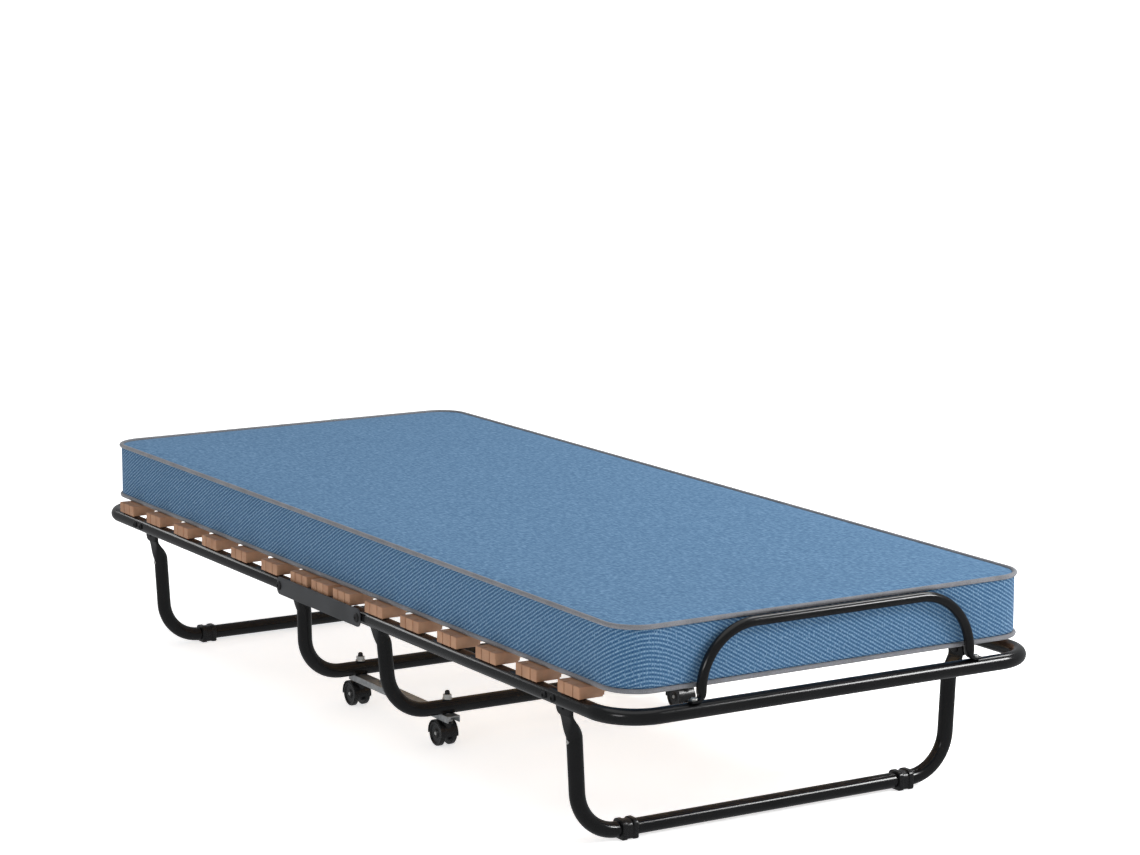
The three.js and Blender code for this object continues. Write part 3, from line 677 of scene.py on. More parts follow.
def slab(outline: np.ndarray, low: float, high: float, axis: str, edge: float = 0.0, steps: int = 4) -> Shape:
    """Extrudes an outline between two planes, with a quarter-round edge at each.

    Args:
        outline: Points (n, 2), anticlockwise: (x, z) for axis "y", (x, y) for "z", (y, z) for "x".
        low: First plane.
        high: Second plane.
        axis: The direction of extrusion.
        edge: Radius of the rounded edges.
        steps: Rings in each rounded edge.

    Returns:
        A closed slab.
    """
    t = np.linspace(0, math.pi / 2, steps + 1) if edge else np.array([math.pi / 2])
    inward, rise = edge * (1 - np.sin(t)), edge * (1 - np.cos(t))
    offsets = np.concatenate([inward, inward[::-1]])
    levels = np.concatenate([low + rise, (high - rise)[::-1]])
    rings = np.stack([inset(outline, o) for o in offsets])
    w = np.broadcast_to(levels[:, None], rings.shape[:2])
    u, v = rings[..., 0], rings[..., 1]
    order = {"y": (u, w, v), "z": (u, v, w), "x": (w, u, v)}[axis]
    return Shape(np.stack(order, -1).reshape(-1, 3), ring_faces(len(levels), len(outline)))


def block(low: tuple, high: tuple, edge: float, corner: float, axis: str = "z") -> Shape:
    """A box between two corners with rounded edges, extruded along an axis."""
    lo, hi = np.array(low, float), np.array(high, float)
    k = "xyz".index(axis)
    others = [i for i in range(3) if i != k]
    size, middle = (hi - lo)[others], ((hi + lo) / 2)[others]
    outline = rounded_outline(size[0], size[1], [corner] * 4, 5) + middle
    return slab(outline, lo[k], hi[k], axis, edge)


def dome_head(radius: float, height: float, axis: str, centre: tuple, socket: float = 0.0, sides: int = 32) -> Shape:
    """A button head with a rounded crown and, if it has one, a round socket sunk in it."""
    t = np.linspace(0, math.pi / 2, 7)
    crown = [(radius * (0.72 + 0.28 * math.cos(a)), height * (0.35 + 0.65 * math.sin(a))) for a in t]
    profile = [(0, 0), (radius, 0), *crown]
    if socket:
        profile += [(socket, height), (socket, height * 0.3), (0, height * 0.3)]
    else:
        profile += [(0, height * 1.02)]
    return lathe(profile, axis, centre, sides)


# ---------------------------------------------------------------- tubes


def smooth_step(t: np.ndarray) -> np.ndarray:
    """3t^2 - 2t^3, held at 0 and 1 outside that range."""
    t = np.clip(t, 0, 1)
    return t * t * (3 - 2 * t)


@dataclass
class TubeFrame:
    """The half-frames, the legs and the loops: bent steel tube, all in gloss powder coat."""

    paints: Paints
    corner: float = 0.070
    flat_width: float = 0.034
    flat_thickness: float = 0.006
    flat_length: float = 0.030
    jog_length: float = 0.034
    jog_bend: float = 0.018
    post_inset: float = 0.033
    post_taper: float = 3.0
    leg_bend: float = 0.072
    loop_radius: float = 0.008
    loop_bend: float = 0.095
    loop_tab: float = 0.020
    loop_tab_bend: float = 0.009
    loop_tab_width: float = 0.015
    loop_tab_thickness: float = 0.004

    def __post_init__(self) -> None:
        """Takes the frame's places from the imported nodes."""
        lo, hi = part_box("half_frame_foot")
        self.radius = (hi.z - lo.z) / 2
        self.rail_z, self.rail_y, self.bar_x = (hi.z + lo.z) / 2, hi.y - self.radius, hi.x - self.radius
        self.tail_x = lo.x
        self.hinge_x = JOINTS["foot_fold"]["pos_m"][0]
        self.pivot_x, _, self.pivot_z = JOINTS["foot_leg_fold"]["pos_m"]

    def half_frame(self, end: End) -> None:
        """One U-shaped half-frame with a domed plug in each tail."""
        x0, x1, y, z = self.tail_x, self.bar_x, self.rail_y, self.rail_z
        corners = [(x0, -y, z), (x1, -y, z), (x1, y, z), (x0, y, z)]
        path = fillet_path(corners, [self.corner, self.corner], 3)
        tube = round_tube(path, (0, 0, 1), self.radius, 44, 0.005)
        name = f"half_frame_{end.value}"
        tube.at(end).piece(f"frame_tube_{end.value}", self.paints.tube, f"half_{end.value}", "frame_tube", (name,))

    def leg_shape(self, pivot: float, tab_y: float, bar_z: float) -> Shape:
        """A U-shaped leg in the plane X = 0: pressed tabs at the pivots, a jog, posts leaning in and a crossbar."""
        top = pivot + self.flat_width / 2
        jog_top, jog_low = top - self.flat_length, top - self.flat_length - self.jog_length
        post = self.rail_y - self.post_inset
        bar = post - (jog_low - bar_z) * math.tan(math.radians(self.post_taper))
        one = [(0, tab_y, top), (0, tab_y, jog_top), (0, post, jog_low), (0, bar, bar_z)]
        path = mirrored_path(one, [self.jog_bend, self.jog_bend, self.leg_bend])
        tip = self.flat_width / 2
        stops = np.concatenate([tip * (1 - np.cos(np.linspace(0, math.pi / 2, 9))), np.linspace(tip, 0.07, 20)])

        def section(near: np.ndarray) -> tuple[np.ndarray, np.ndarray, np.ndarray]:
            """Round tube going over into a flat tab whose end is a half circle."""
            flat = 1 - smooth_step((near - self.flat_length) / self.jog_length)
            arc = np.sqrt(np.maximum(tip**2 - (tip - np.minimum(near, tip)) ** 2, (0.08 * tip) ** 2)) / tip
            thin = self.radius + (self.flat_thickness / 2 - self.radius) * flat
            wide = (self.radius + (tip - self.radius) * flat) * arc
            return thin, wide, 2 + 4 * flat

        return sweep(with_stops(path, stops), (1, 0, 0), section, 40)

    def end_leg(self, end: End) -> None:
        """The folding leg at one end, with a thin dark sheet painted as the shade of the bend's crease below each
        tab, and a small zinc dome there as a painted highlight.
        """
        lo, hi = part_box("end_leg_foot")
        tab_y = hi.y - self.flat_thickness / 2
        leg = self.leg_shape(self.pivot_z, tab_y, lo.z + self.radius).moved(self.pivot_x)
        body, label = f"leg_{end.value}", end.value
        leg.at(end).piece(f"end_leg_tube_{label}", self.paints.tube, body, "frame_tube", (f"end_leg_{label}",))
        # a thin dark sheet on the leg's face: painted shade where the bend below the tab turns in
        y = self.rail_y - self.post_inset + self.radius - 0.0016
        outline = rounded_outline(0.005, 0.022, [0.0024] * 4) + (self.pivot_x, self.pivot_z - 0.040)
        slot = slab(outline, y, y + 0.0014, "y", 0.0003)
        slot.both_sides().at(end).piece(f"leg_crease_shade_{label}", self.paints.bracket, body, "bracket")
        # a small zinc dome: a painted highlight on that crease
        rivet = dome_head(0.0034, 0.0026, "y", (self.pivot_x, y - 0.0002, self.pivot_z - 0.055), sides=20)
        rivet.both_sides().at(end).piece(f"leg_crease_highlight_{label}", self.paints.zinc, body, "zinc")

    def centre_leg(self, end: End) -> None:
        """The trolley's leg at one hinge, leaning out to its crossbar."""
        lo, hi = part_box("centre_leg_foot")
        bar_x = JOINTS["swivel_foot_back"]["pos_m"][0]
        bar_z = lo.z + self.radius
        length = math.hypot(bar_x - self.hinge_x, self.rail_z - bar_z)
        lean = Matrix.Rotation(-math.atan2(bar_x - self.hinge_x, self.rail_z - bar_z), 4, "Y")
        leg = self.leg_shape(0, hi.y - self.flat_thickness / 2, -length)
        placed = leg.mapped(Matrix.Translation((self.hinge_x, 0, self.rail_z)) @ lean)
        name = f"centre_leg_{end.value}"
        placed.at(end).piece(f"centre_leg_tube_{end.value}", self.paints.tube, "trolley", "frame_tube", (name,))

    def loop(self, end: End) -> None:
        """The mattress loop on an end crossbar: its feet are pressed flat, turned out and screwed down."""
        lo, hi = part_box("mattress_loop_foot")
        radius, x, half = self.loop_radius, (hi.x + lo.x) / 2, hi.y - self.loop_tab
        foot, top = self.rail_z + self.radius + REST_GAP + self.loop_tab_thickness / 2, hi.z - radius
        one = [(0, half + self.loop_tab, foot), (0, half, foot), (0, half, top)]
        path = mirrored_path(one, [self.loop_tab_bend, self.loop_bend])

        def section(near: np.ndarray) -> tuple[np.ndarray, np.ndarray, np.ndarray]:
            """Round tube going over into a flat tab."""
            flat = 1 - smooth_step((near - self.loop_tab * 0.75) / 0.018)
            thin = radius + (self.loop_tab_thickness / 2 - radius) * flat
            wide = radius + (self.loop_tab_width / 2 - radius) * flat
            return thin, wide, 2 + 4 * flat

        shape = sweep(with_stops(path, np.linspace(0, 0.05, 18)), (1, 0, 0), section, 28).moved(x)
        label, body = end.value, f"half_{end.value}"
        shape.at(end).piece(f"loop_tube_{label}", self.paints.tube, body, "loop_tube", (f"mattress_loop_{label}",))
        screw = dome_head(0.0055, 0.0032, "z", (x, half + self.loop_tab * 0.62, foot + 0.0019), 0.002, 24)
        screw.both_sides().at(end).piece(f"loop_screws_{label}", self.paints.zinc, body, "zinc")

    def build(self) -> None:
        """Makes every tube."""
        for end in End:
            self.half_frame(end)
            self.end_leg(end)
            self.centre_leg(end)
            self.loop(end)


# ---------------------------------------------------------------- hinges, plates and feet


@dataclass
class Fittings:
    """Side plates, hinge bolts, end-leg brackets and foot clamps."""

    paints: Paints
    plate_corner: float = 0.010
    plate_skin: float = 0.003
    head_radius: float = 0.008
    head_height: float = 0.0026
    pin_radius: float = 0.004
    bolt_step: float = 0.0125

    def inner_head(self, x: float, low: float, z: float) -> Shape:
        """A rivet head that faces the bed's middle, with its crown at Y = low."""
        head = dome_head(self.head_radius, self.head_height, "y", (x, 0, z))
        return Shape(head.verts * ACROSS, head.faces).moved(y=low + self.head_height)

    def side_plate(self, side: Side) -> None:
        """A pressed side plate with rounded ends, and the shelf that the middle slats stand on."""
        lo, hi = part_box("side_plate_back")
        middle = (lo.z + hi.z) / 2
        web = rounded_outline(hi.x - lo.x, hi.z - lo.z, [self.plate_corner] * 4, 8) + (0, middle)
        shape = slab(web, hi.y - self.plate_skin, hi.y, "y", 0.0008)
        reach = hi.x - 0.0515
        shape += block((-reach, lo.y, middle + 0.0107), (reach, hi.y - 0.001, middle + 0.0127), 0.0005, 0.0008)
        name = f"side_plate_{side.value}"
        shape.at(End.FOOT, side).piece(f"plate_{side.value}", self.paints.plate, "trolley", "side_plate", (name,))

    def hinge_bolt(self, end: End, side: Side) -> None:
        """A hinge bolt: low domed heads on a shank, with a small socket outside."""
        lo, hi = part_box("hinge_pin_foot_back")
        x, z = (lo.x + hi.x) / 2, (lo.z + hi.z) / 2
        shape = rod(self.pin_radius, lo.y + 0.001, hi.y - 0.001, "y", (x, 0, z))
        shape += dome_head(self.head_radius, self.head_height, "y", (x, hi.y - self.head_height, z), 0.0026)
        shape += self.inner_head(x, lo.y, z)
        label = f"{end.value}_{side.value}"
        shape.at(end, side).piece(
            f"hinge_bolt_{label}", self.paints.bracket, "trolley", "hinge_rivet", (f"hinge_pin_{label}",)
        )

    def leg_bracket(self, end: End, side: Side) -> None:
        """An end-leg bracket inside the rail, its two rail bolts and the pivot rivet."""
        lo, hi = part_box("leg_bracket_foot_back")
        pivot_x, _, pivot_z = JOINTS["foot_leg_fold"]["pos_m"]
        rail_z = JOINTS["foot_fold"]["pos_m"][2]
        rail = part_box("half_frame_foot")[1]
        outer = rail.y
        face = 2 * (outer - (rail.z - rail_z)) - outer - REST_GAP
        height, middle = hi.z - lo.z, (hi.z + lo.z) / 2
        outline = rounded_outline(hi.x - lo.x, height, [0.004, 0.004, 0.012, 0.012]) + (pivot_x, middle)
        shape = slab(outline, face - 0.003, face, "y", 0.0006)
        for bolt_x in (pivot_x - self.bolt_step, pivot_x + self.bolt_step):
            shape += rod(0.003, face - 0.001, outer + 0.001, "y", (bolt_x, 0, rail_z), 20)
            shape += dome_head(0.006, 0.0029, "y", (bolt_x, outer - 0.0002, rail_z), 0.0026)
        shape += rod(self.pin_radius, lo.y + 0.001, face, "y", (pivot_x, 0, pivot_z), 20)
        shape += self.inner_head(pivot_x, lo.y, pivot_z)
        label = f"{end.value}_{side.value}"
        shape.at(end, side).piece(
            f"bracket_{label}", self.paints.bracket, f"half_{end.value}", "bracket", (f"leg_bracket_{label}",)
        )

    def foot_clamp(self, end: End, side: Side) -> None:
        """A moulded foot snapped round the crossbar: two flanges joined by a narrower band, flat underneath."""
        lo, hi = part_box("foot_clamp_foot_back")
        x, z = (lo.x + hi.x) / 2, (lo.z + hi.z) / 2
        size = hi.x - lo.x
        full = rounded_outline(size, size, [0.0095, 0.0095, 0.004, 0.004], 8) + (x, z)
        waist = rounded_outline(size - 0.0026, size - 0.0026, [0.0115, 0.0115, 0.003, 0.003], 8) + (x, z)
        flange = 0.0085
        shape = slab(full, lo.y, lo.y + flange, "y", 0.0009)
        shape += slab(full, hi.y - flange, hi.y, "y", 0.0009)
        shape += slab(waist, lo.y + 0.002, hi.y - 0.002, "y", 0.0006)
        label = f"{end.value}_{side.value}"
        shape.at(end, side).piece(
            f"foot_{label}", self.paints.nylon, f"leg_{end.value}", "foot_plastic", (f"foot_clamp_{label}",)
        )

    def build(self) -> None:
        """Makes every fitting, and gives the tie bars their finish."""
        for side in Side:
            self.side_plate(side)
            for end in End:
                self.hinge_bolt(end, side)
                self.leg_bracket(end, side)
                self.foot_clamp(end, side)
            tie = frame["nodes"][f"tie_bar_{side.value}"]
            tie.data.materials.clear()
            tie.data.materials.append(self.paints.tie)


# ---------------------------------------------------------------- casters


@dataclass
class Casters:
    """Four twin-wheel casters with their stems and cap nuts."""

    paints: Paints
    web: float = 0.0104
    wheel_width: float = 0.0095

    def __post_init__(self) -> None:
        """Takes the stem's and the axle's places from the joints."""
        self.x, self.y, _ = JOINTS["swivel_foot_back"]["pos_m"]
        axle = JOINTS["roll_foot_back"]["pos_m"]
        self.trail, self.axle_z = self.x - axle[0], axle[2]

    def housing(self) -> Shape:
        """The housing about a stem at the origin: a hood over the wheels, the web between them and the boss."""
        lo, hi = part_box("caster_housing_foot_back")
        inner, wall = self.axle_z + 0.0008, 0.0017
        half = (hi.y - lo.y) / 2
        t = np.linspace(-0.12, math.pi + 0.12, 41)
        centre = np.array([-self.trail, self.axle_z])
        arc = lambda r: centre + np.stack([r * np.cos(t), r * np.sin(t)], 1)
        hood = slab(np.vstack([arc(inner + wall), arc(inner)[::-1]]), -half, half, "y")
        thin = self.web / 2
        shape = hood + rod(self.axle_z * 0.66, -thin, thin, "y", (-self.trail, 0, self.axle_z), 40)
        s = np.linspace(0.3, math.pi - 0.3, 25)
        fin = centre + np.stack([(inner + 0.0004) * np.cos(s), (inner + 0.0004) * np.sin(s)], 1)
        shape += slab(np.vstack([fin, centre[None]]), -thin, thin, "y")
        boss = [(0, 0.028), (0.0055, 0.028), (0.0063, 0.026), (0.0063, 0.0006), (0.0057, 0), (0, 0)]
        shoulder = [(0, 0.005), (0.0095, 0.005), (0.0095, 0.0026), (0.0063, 0.0012), (0, 0.0012)]
        for profile in (boss, shoulder):
            shape += lathe([(r, hi.z - drop) for r, drop in profile], "z", ORIGIN, 32)
        return shape

    def wheels(self) -> tuple[Shape, Shape]:
        """Both wheels about a stem at the origin, and their hub pins: domed discs with a raised rim and a hub."""
        r, half, w = self.axle_z, 0.016, self.wheel_width
        face = [
            (0, half - 0.0016), (0.0042, half - 0.0016), (0.0050, half - 0.0004), (0.0075, half - 0.0004),
            (0.0088, half - 0.0022), (r - 0.0052, half - 0.0022), (r - 0.0042, half - 0.0004), (r - 0.0016, half),
            (r - 0.0004, half - 0.0012), (r, half - 0.0030), (r, half - w + 0.0012), (r - 0.0012, half - w),
            (0, half - w),
        ]
        at = (-self.trail, 0, self.axle_z)
        one = lathe(face, "y", at, 56)
        pin = lathe([(0, 0), (0.0031, 0), (0.0031, half - 0.0006), (0.0022, half - 0.0001), (0, half)], "y", at, 20)
        return one.both_sides(), pin.both_sides()

    def stem(self) -> tuple[Shape, Shape, Shape]:
        """Threaded stem with its hex spacer, the hex nut, and the nut's domed cap, about a stem at the origin."""
        lo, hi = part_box("caster_stem_foot_back")
        nut_lo, nut_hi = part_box("cap_nut_foot_back")
        bolt = rod(0.004, lo.z, hi.z, "z", ORIGIN)
        collar_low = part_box("caster_housing_foot_back")[1].z + REST_GAP
        collar_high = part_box("tie_bar_back")[1].z - 0.0023

        def hexagon(flats: float, turn: float) -> np.ndarray:
            """A hexagon of that width across its flats, turned by an angle."""
            angle = turn + np.arange(6) * math.pi / 3
            return flats / math.sqrt(3) * np.stack([np.cos(angle), np.sin(angle)], 1)

        spacer = slab(hexagon(0.0135, 0.3), collar_low + 0.001, collar_high, "z", 0.0005)
        spacer += lathe([(0, 0), (0.0088, 0), (0.0088, 0.0014), (0, 0.0018)], "z", (0, 0, collar_low), 32)
        nut = slab(hexagon(0.013, 0.9), nut_lo.z, nut_lo.z + 0.008, "z", 0.0007)
        flange = lathe([(0, 0), (0.0088, 0), (0.0088, 0.0012), (0, 0.0016)], "z", (0, 0, nut_lo.z), 32)
        base, rise = nut_lo.z + 0.0075, nut_hi.z - nut_lo.z - 0.0075
        crown = [
            (0.0044 * math.cos(a) ** 0.7 if a < 1.57 else 0, base + rise * (0.45 + 0.55 * math.sin(a)))
            for a in np.linspace(0, math.pi / 2, 9)
        ]
        return bolt + spacer, nut + flange, lathe([(0, base), (0.0048, base), *crown], "z", ORIGIN, 28)

    def build(self) -> None:
        """Makes the four casters."""
        housing, (wheels, pins), (stem, nut, dome) = self.housing(), self.wheels(), self.stem()
        for end in End:
            for side in Side:
                label = f"{end.value}_{side.value}"
                x = self.x if end is End.FOOT else -self.x
                y = self.y if side is Side.BACK else -self.y
                swivel, roll, black = f"swivel_{label}", f"wheels_{label}", self.paints.nylon
                for shape, name, paint, body, slot, *node in (
                    (housing, "caster_hood", black, swivel, "caster_plastic", "caster_housing"),
                    (wheels, "caster_discs", black, roll, "wheel_plastic", "caster_wheels"),
                    (pins, "hub_pins", self.paints.zinc, roll, "zinc"),
                    (stem, "stem_bolt", self.paints.zinc, "trolley", "zinc", "caster_stem"),
                    (nut, "stem_nut", self.paints.zinc, "trolley", "cap_nut", "cap_nut"),
                    (dome, "nut_dome", black, "trolley", "cap_nut"),
                ):
                    stands_for = tuple(f"{n}_{label}" for n in node)
                    shape.moved(x, y).piece(f"{name}_{label}", paint, body, slot, stands_for)


# ---------------------------------------------------------------- slats


@dataclass
class Slats:
    """Sprung boards with a moulded cap at each end."""

    paints: Paints
    groove: float = 0.0023
    finger: float = 0.011
    board_width: float = 0.053

    def cap(self, box_low: Vector, box_high: Vector) -> Shape:
        """The back cap of a slat at X = 0: a hollowed block whose outer end is cut into three fingers."""
        x, outer, low, top = (box_high.x - box_low.x) / 2, box_high.y, box_low.z, box_high.z
        inner = outer - 0.042
        shape = block((-x, inner, low), (x, outer - self.finger, top), 0.0012, 0.0016, "y")
        lip = (-x + 0.001, inner - 0.003, low + 0.002), (x - 0.001, inner + 0.003, top - 0.002)
        shape += block(*lip, 0.001, 0.0016, "y")
        side, g = x - 0.0185, self.groove / 2
        for a, b in ((-x, -side - g), (-side + g, side - g), (side + g, x)):
            shape += block((a, outer - self.finger - 0.002, low), (b, outer, top), 0.0011, 0.0012, "y")
        saddle = block((-x * 0.6, outer - 0.024, low - 0.0022), (x * 0.6, outer - 0.006, low + 0.001), 0.0006, 0.001)
        return shape + saddle

    def slat(self, name: str, body: str) -> None:
        """One slat: its board, and its two caps as one piece."""
        lo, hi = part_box(name)
        middle_x, middle_z = (lo.x + hi.x) / 2, (lo.z + hi.z) / 2
        reach, w, t = hi.y - 0.010, self.board_width / 2, 0.004
        board = block((middle_x - w, -reach, middle_z - t), (middle_x + w, reach, middle_z + t), 0.0008, 0.0018, "y")
        board.piece(f"board_{name}", self.paints.wood, body, "slat")
        caps = self.cap(lo, hi).both_sides().moved(middle_x)
        caps.piece(f"caps_{name}", self.paints.cap, body, "slat", (name,))

    def build(self) -> None:
        """Makes every slat that the frame has."""
        for body, nodes in frame["record"]["behaviour"]["bodies"].items():
            for name in nodes:
                if name.startswith("slat_"):
                    self.slat(name, body)


# ---------------------------------------------------------------- mattress


@dataclass
class Mattress:
    """Foam pad in a sewn cover: a knit top, ribbed border and base, and piping in both seams.

    The cover is one closed sheet, pressed out by its foam in a cloth simulation. At each hinge it is then cut along
    two slanted planes and an upright one. The two wedges between them, the foam at the fold, are pieces of their
    own, and so is the root of each wedge, next to the hinge.
    """

    paints: Paints
    corner: float = 0.055
    cell: float = 0.012
    levels: int = 8
    piping: float = 0.0038
    crown: float = 0.0050
    bulge: float = 0.0042
    rib_slope: float = 30.0
    fold_gap: float = 0.001
    sink: float = 0.004
    tuck: float = 0.002
    folded: float = 0.012

    def __post_init__(self) -> None:
        """Takes the cover's size from its CAD solids."""
        lo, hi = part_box("mattress_foot")
        self.half_length, self.half_width = hi.x, hi.y
        self.low, self.high = lo.z + self.piping, hi.z - 0.0008
        self.hinge = Vector(JOINTS["foot_fold"]["pos_m"])

    def rows(self) -> np.ndarray:
        """Y of each row: even in the middle, and by even angles round the corners."""
        straight = self.half_width - self.corner
        n = round(2 * straight / self.cell)
        t = np.linspace(0, math.pi / 2, 9)[1:]
        arc = straight + self.corner * np.sin(t)
        return np.concatenate([-arc[::-1], np.linspace(-straight, straight, n + 1), arc])

    def grid(self) -> tuple[np.ndarray, np.ndarray]:
        """X and Y of the plan's grid (rows, columns): each row is stretched to end on the rounded outline."""
        y = self.rows()
        past = np.maximum(np.abs(y) - (self.half_width - self.corner), 0)
        reach = self.half_length - self.corner + np.sqrt(np.maximum(self.corner**2 - past**2, 0))
        n = 2 * round(self.half_length / self.cell)
        u = np.linspace(-1, 1, n + 1)
        return reach[:, None] * u[None], np.broadcast_to(y[:, None], (len(y), n + 1))

    def rib_height(self, s: np.ndarray, perimeter: float) -> np.ndarray:
        """Height of one rib against the distance round the border.

        The ribs climb along each long side and fall along each end, and turn over smoothly at a corner:
        the slope is a product of two soft steps, tanh, between the corners.
        """
        a, w = self.half_length, self.half_width
        corners = np.cumsum([2 * a, 2 * w, 2 * a, 2 * w]) * perimeter / (4 * (a + w))
        fine = np.linspace(0, perimeter, 4000)
        slope = np.ones_like(fine)
        for c in corners[:-1]:
            slope *= -np.tanh((fine - c) / 0.035)
        slope *= np.sign(slope[40])
        climb = np.concatenate([[0], np.cumsum(slope[1:] * np.diff(fine))]) * math.tan(math.radians(self.rib_slope))
        return np.interp(s, fine, climb)

    def cover(self) -> bpy.types.Object:
        """Builds the closed cover: knit faces on top, twill faces on the border and the base."""
        x, y = self.grid()
        rows, cols = x.shape
        index = np.arange(rows * cols).reshape(rows, cols)
        top = np.stack([x, y, np.full_like(x, self.high)], -1).reshape(-1, 3)
        base = np.stack([x, y, np.full_like(x, self.low)], -1).reshape(-1, 3)
        loop = np.concatenate([index[0], index[1:, -1], index[-1, -2::-1], index[-2:0:-1, 0]])
        n, count = len(loop), rows * cols
        share = np.linspace(0, 1, self.levels + 1)[1:-1]
        border = top[loop][None] * (1 - share)[:, None, None] + base[loop][None] * share[:, None, None]
        verts = np.vstack([top, base, border.reshape(-1, 3)])
        quad = np.stack([index[:-1, :-1], index[:-1, 1:], index[1:, 1:], index[1:, :-1]], -1).reshape(-1, 4)
        ring = np.vstack([loop, (2 * count + np.arange(n * len(share))).reshape(-1, n), loop + count])
        nxt = np.roll(ring, -1, 1)
        wall = np.stack([ring[:-1], ring[1:], nxt[1:], nxt[:-1]], -1).reshape(-1, 4)
        faces = np.vstack([quad, quad[:, ::-1] + count, wall])
        mesh = bpy.data.meshes.new("mattress_cover")
        mesh.from_pydata(verts.tolist(), [], faces.tolist())
        mesh.materials.append(self.paints.top)
        mesh.materials.append(self.paints.side)
        kind = np.concatenate([np.zeros(len(quad)), np.ones(len(quad) + len(wall))]).astype(np.int32)
        mesh.polygons.foreach_set("material_index", kind)
        outline = top[loop]
        s = distance_along(np.vstack([outline, outline[:1]]))
        climb = self.rib_height(s, s[-1])
        cos = math.cos(math.radians(self.rib_slope))
        z = np.linspace(self.high, self.low, self.levels + 1)
        k, j = np.meshgrid(np.arange(self.levels), np.arange(n), indexing="ij")
        corner_k, corner_j = np.stack([k, k + 1, k + 1, k], -1), np.stack([j, j, j + 1, j + 1], -1)
        wall_uv = np.stack([(z[corner_k] - climb[corner_j]) * cos, s[corner_j]], -1).reshape(-1, 2)
        flat = verts[np.concatenate([quad.ravel(), (quad[:, ::-1] + count).ravel()])][:, :2]
        sin = math.sin(math.radians(self.rib_slope))
        flat_uv = np.stack([flat[:, 1] * cos - flat[:, 0] * sin, flat @ (cos, sin)], 1)
        uv = mesh.uv_layers.new(name="weave")
        uv.data.foreach_set("uv", np.vstack([flat_uv, wall_uv]).astype(np.float32).ravel())
        mesh.polygons.foreach_set("use_smooth", np.ones(len(mesh.polygons), bool))
        made = put("mattress_cover", mesh)
        held = made.vertex_groups.new(name="sewn")
        held.add(np.unique(np.concatenate([loop, np.arange(count, 2 * count)])).tolist(), 1.0, "REPLACE")
        return made

    def press_out(self, cover: bpy.types.Object) -> None:
        """Presses the cover out against its sewn seams by cloth simulation, and softly limits how far it goes."""
        n = len(cover.data.vertices)
        rest = np.empty(n * 3)
        cover.data.vertices.foreach_get("co", rest)
        rest = rest.reshape(-1, 3)
        cloth = cover.modifiers.new("cloth", "CLOTH")
        cloth.settings.quality = 4
        cloth.settings.mass = 0.35
        cloth.settings.tension_stiffness = cloth.settings.compression_stiffness = 25
        cloth.settings.bending_stiffness = 1.5
        cloth.settings.use_pressure = True
        cloth.settings.uniform_pressure_force = 4
        cloth.settings.vertex_group_mass = "sewn"
        cloth.settings.effector_weights.gravity = 0
        cloth.collision_settings.use_collision = False
        for step in range(1, 15):
            bpy.context.scene.frame_set(step)
        seen = cover.evaluated_get(bpy.context.evaluated_depsgraph_get()).to_mesh()
        moved = np.empty(n * 3)
        seen.vertices.foreach_get("co", moved)
        moved = moved.reshape(-1, 3)
        cover.modifiers.clear()
        bpy.context.scene.frame_set(1)
        push = moved - rest
        LOG.info("cover pressed out by up to %.1f mm", np.abs(push).max() / MM)
        limit = np.array([self.bulge, self.bulge, self.crown])
        push = limit * np.tanh(push / limit)
        cover.data.vertices.foreach_set("co", (rest + push).ravel())

    def section(
        self, cover: bpy.types.Object, name: str, body: str, cuts: list[tuple[Vector, Vector]]
    ) -> bpy.types.Object:
        """Part of the finished cover, closed with flat faces where it is cut.

        Args:
            cover: The whole cover.
            name: The part's name.
            body: The body that carries it.
            cuts: Points and normals of planes. What lies on a normal's side is cut away.

        Returns:
            The new object.
        """
        bm = bmesh.new()
        bm.from_mesh(cover.data)
        for point, away in cuts:
            geometry = [*bm.verts, *bm.edges, *bm.faces]
            bmesh.ops.bisect_plane(bm, geom=geometry, dist=1e-6, plane_co=point, plane_no=away, clear_outer=True)
            rim = [e for e in bm.edges if e.is_boundary]
            for face in bmesh.ops.holes_fill(bm, edges=rim, sides=0)["faces"]:
                face.smooth, face.material_index = False, 1
            for edge in rim:
                edge.smooth = False
        mesh = bpy.data.meshes.new(name)
        bm.to_mesh(mesh)
        bm.free()
        for paint in (self.paints.top, self.paints.side):
            mesh.materials.append(paint)
        made = put(name, mesh)
        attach(made, body)
        LOG.info("%s: %d faces on %s", name, len(mesh.polygons), body)
        return made

    def cord(self, name: str, body: str, z: float, start: float, stop: float | None, sign: int) -> bpy.types.Object:
        """Piping at one height: two straight runs from start to stop, or one run round an end if stop is None."""
        w, a = self.half_width, self.half_length
        if stop is None:
            corners = [(start, -w, z), (a, -w, z), (a, w, z), (start, w, z)]
            shape = round_tube(fillet_path(corners, [self.corner] * 2, 5), (0, 0, 1), self.piping, 12)
        else:
            run = np.linspace((start, w, z), (stop, w, z), 9)
            shape = round_tube(run, (0, 0, 1), self.piping, 12).both_sides()
        turned = Shape(shape.verts * np.array([sign, 1, 1]), shape.faces)
        return turned.piece(name, self.paints.tape, body, "mattress_cover")

    def end_parts(self, cover: bpy.types.Object, end: End) -> None:
        """The half of the mattress at one end, and the two wedges at its fold, each with its root as a piece of its
        own.
        """
        sign, label, gap = (1 if end is End.FOOT else -1), end.value, self.fold_gap
        beyond = gap + self.sink

        def place(x: float, z: float = self.hinge.z) -> Vector:
            """A point by its distance from the bed's middle."""
            return Vector((sign * x, 0, z))

        def toward(x: float, z: float) -> Vector:
            """A unit direction, where X points out from the bed's middle."""
            return place(x, z).normalized()

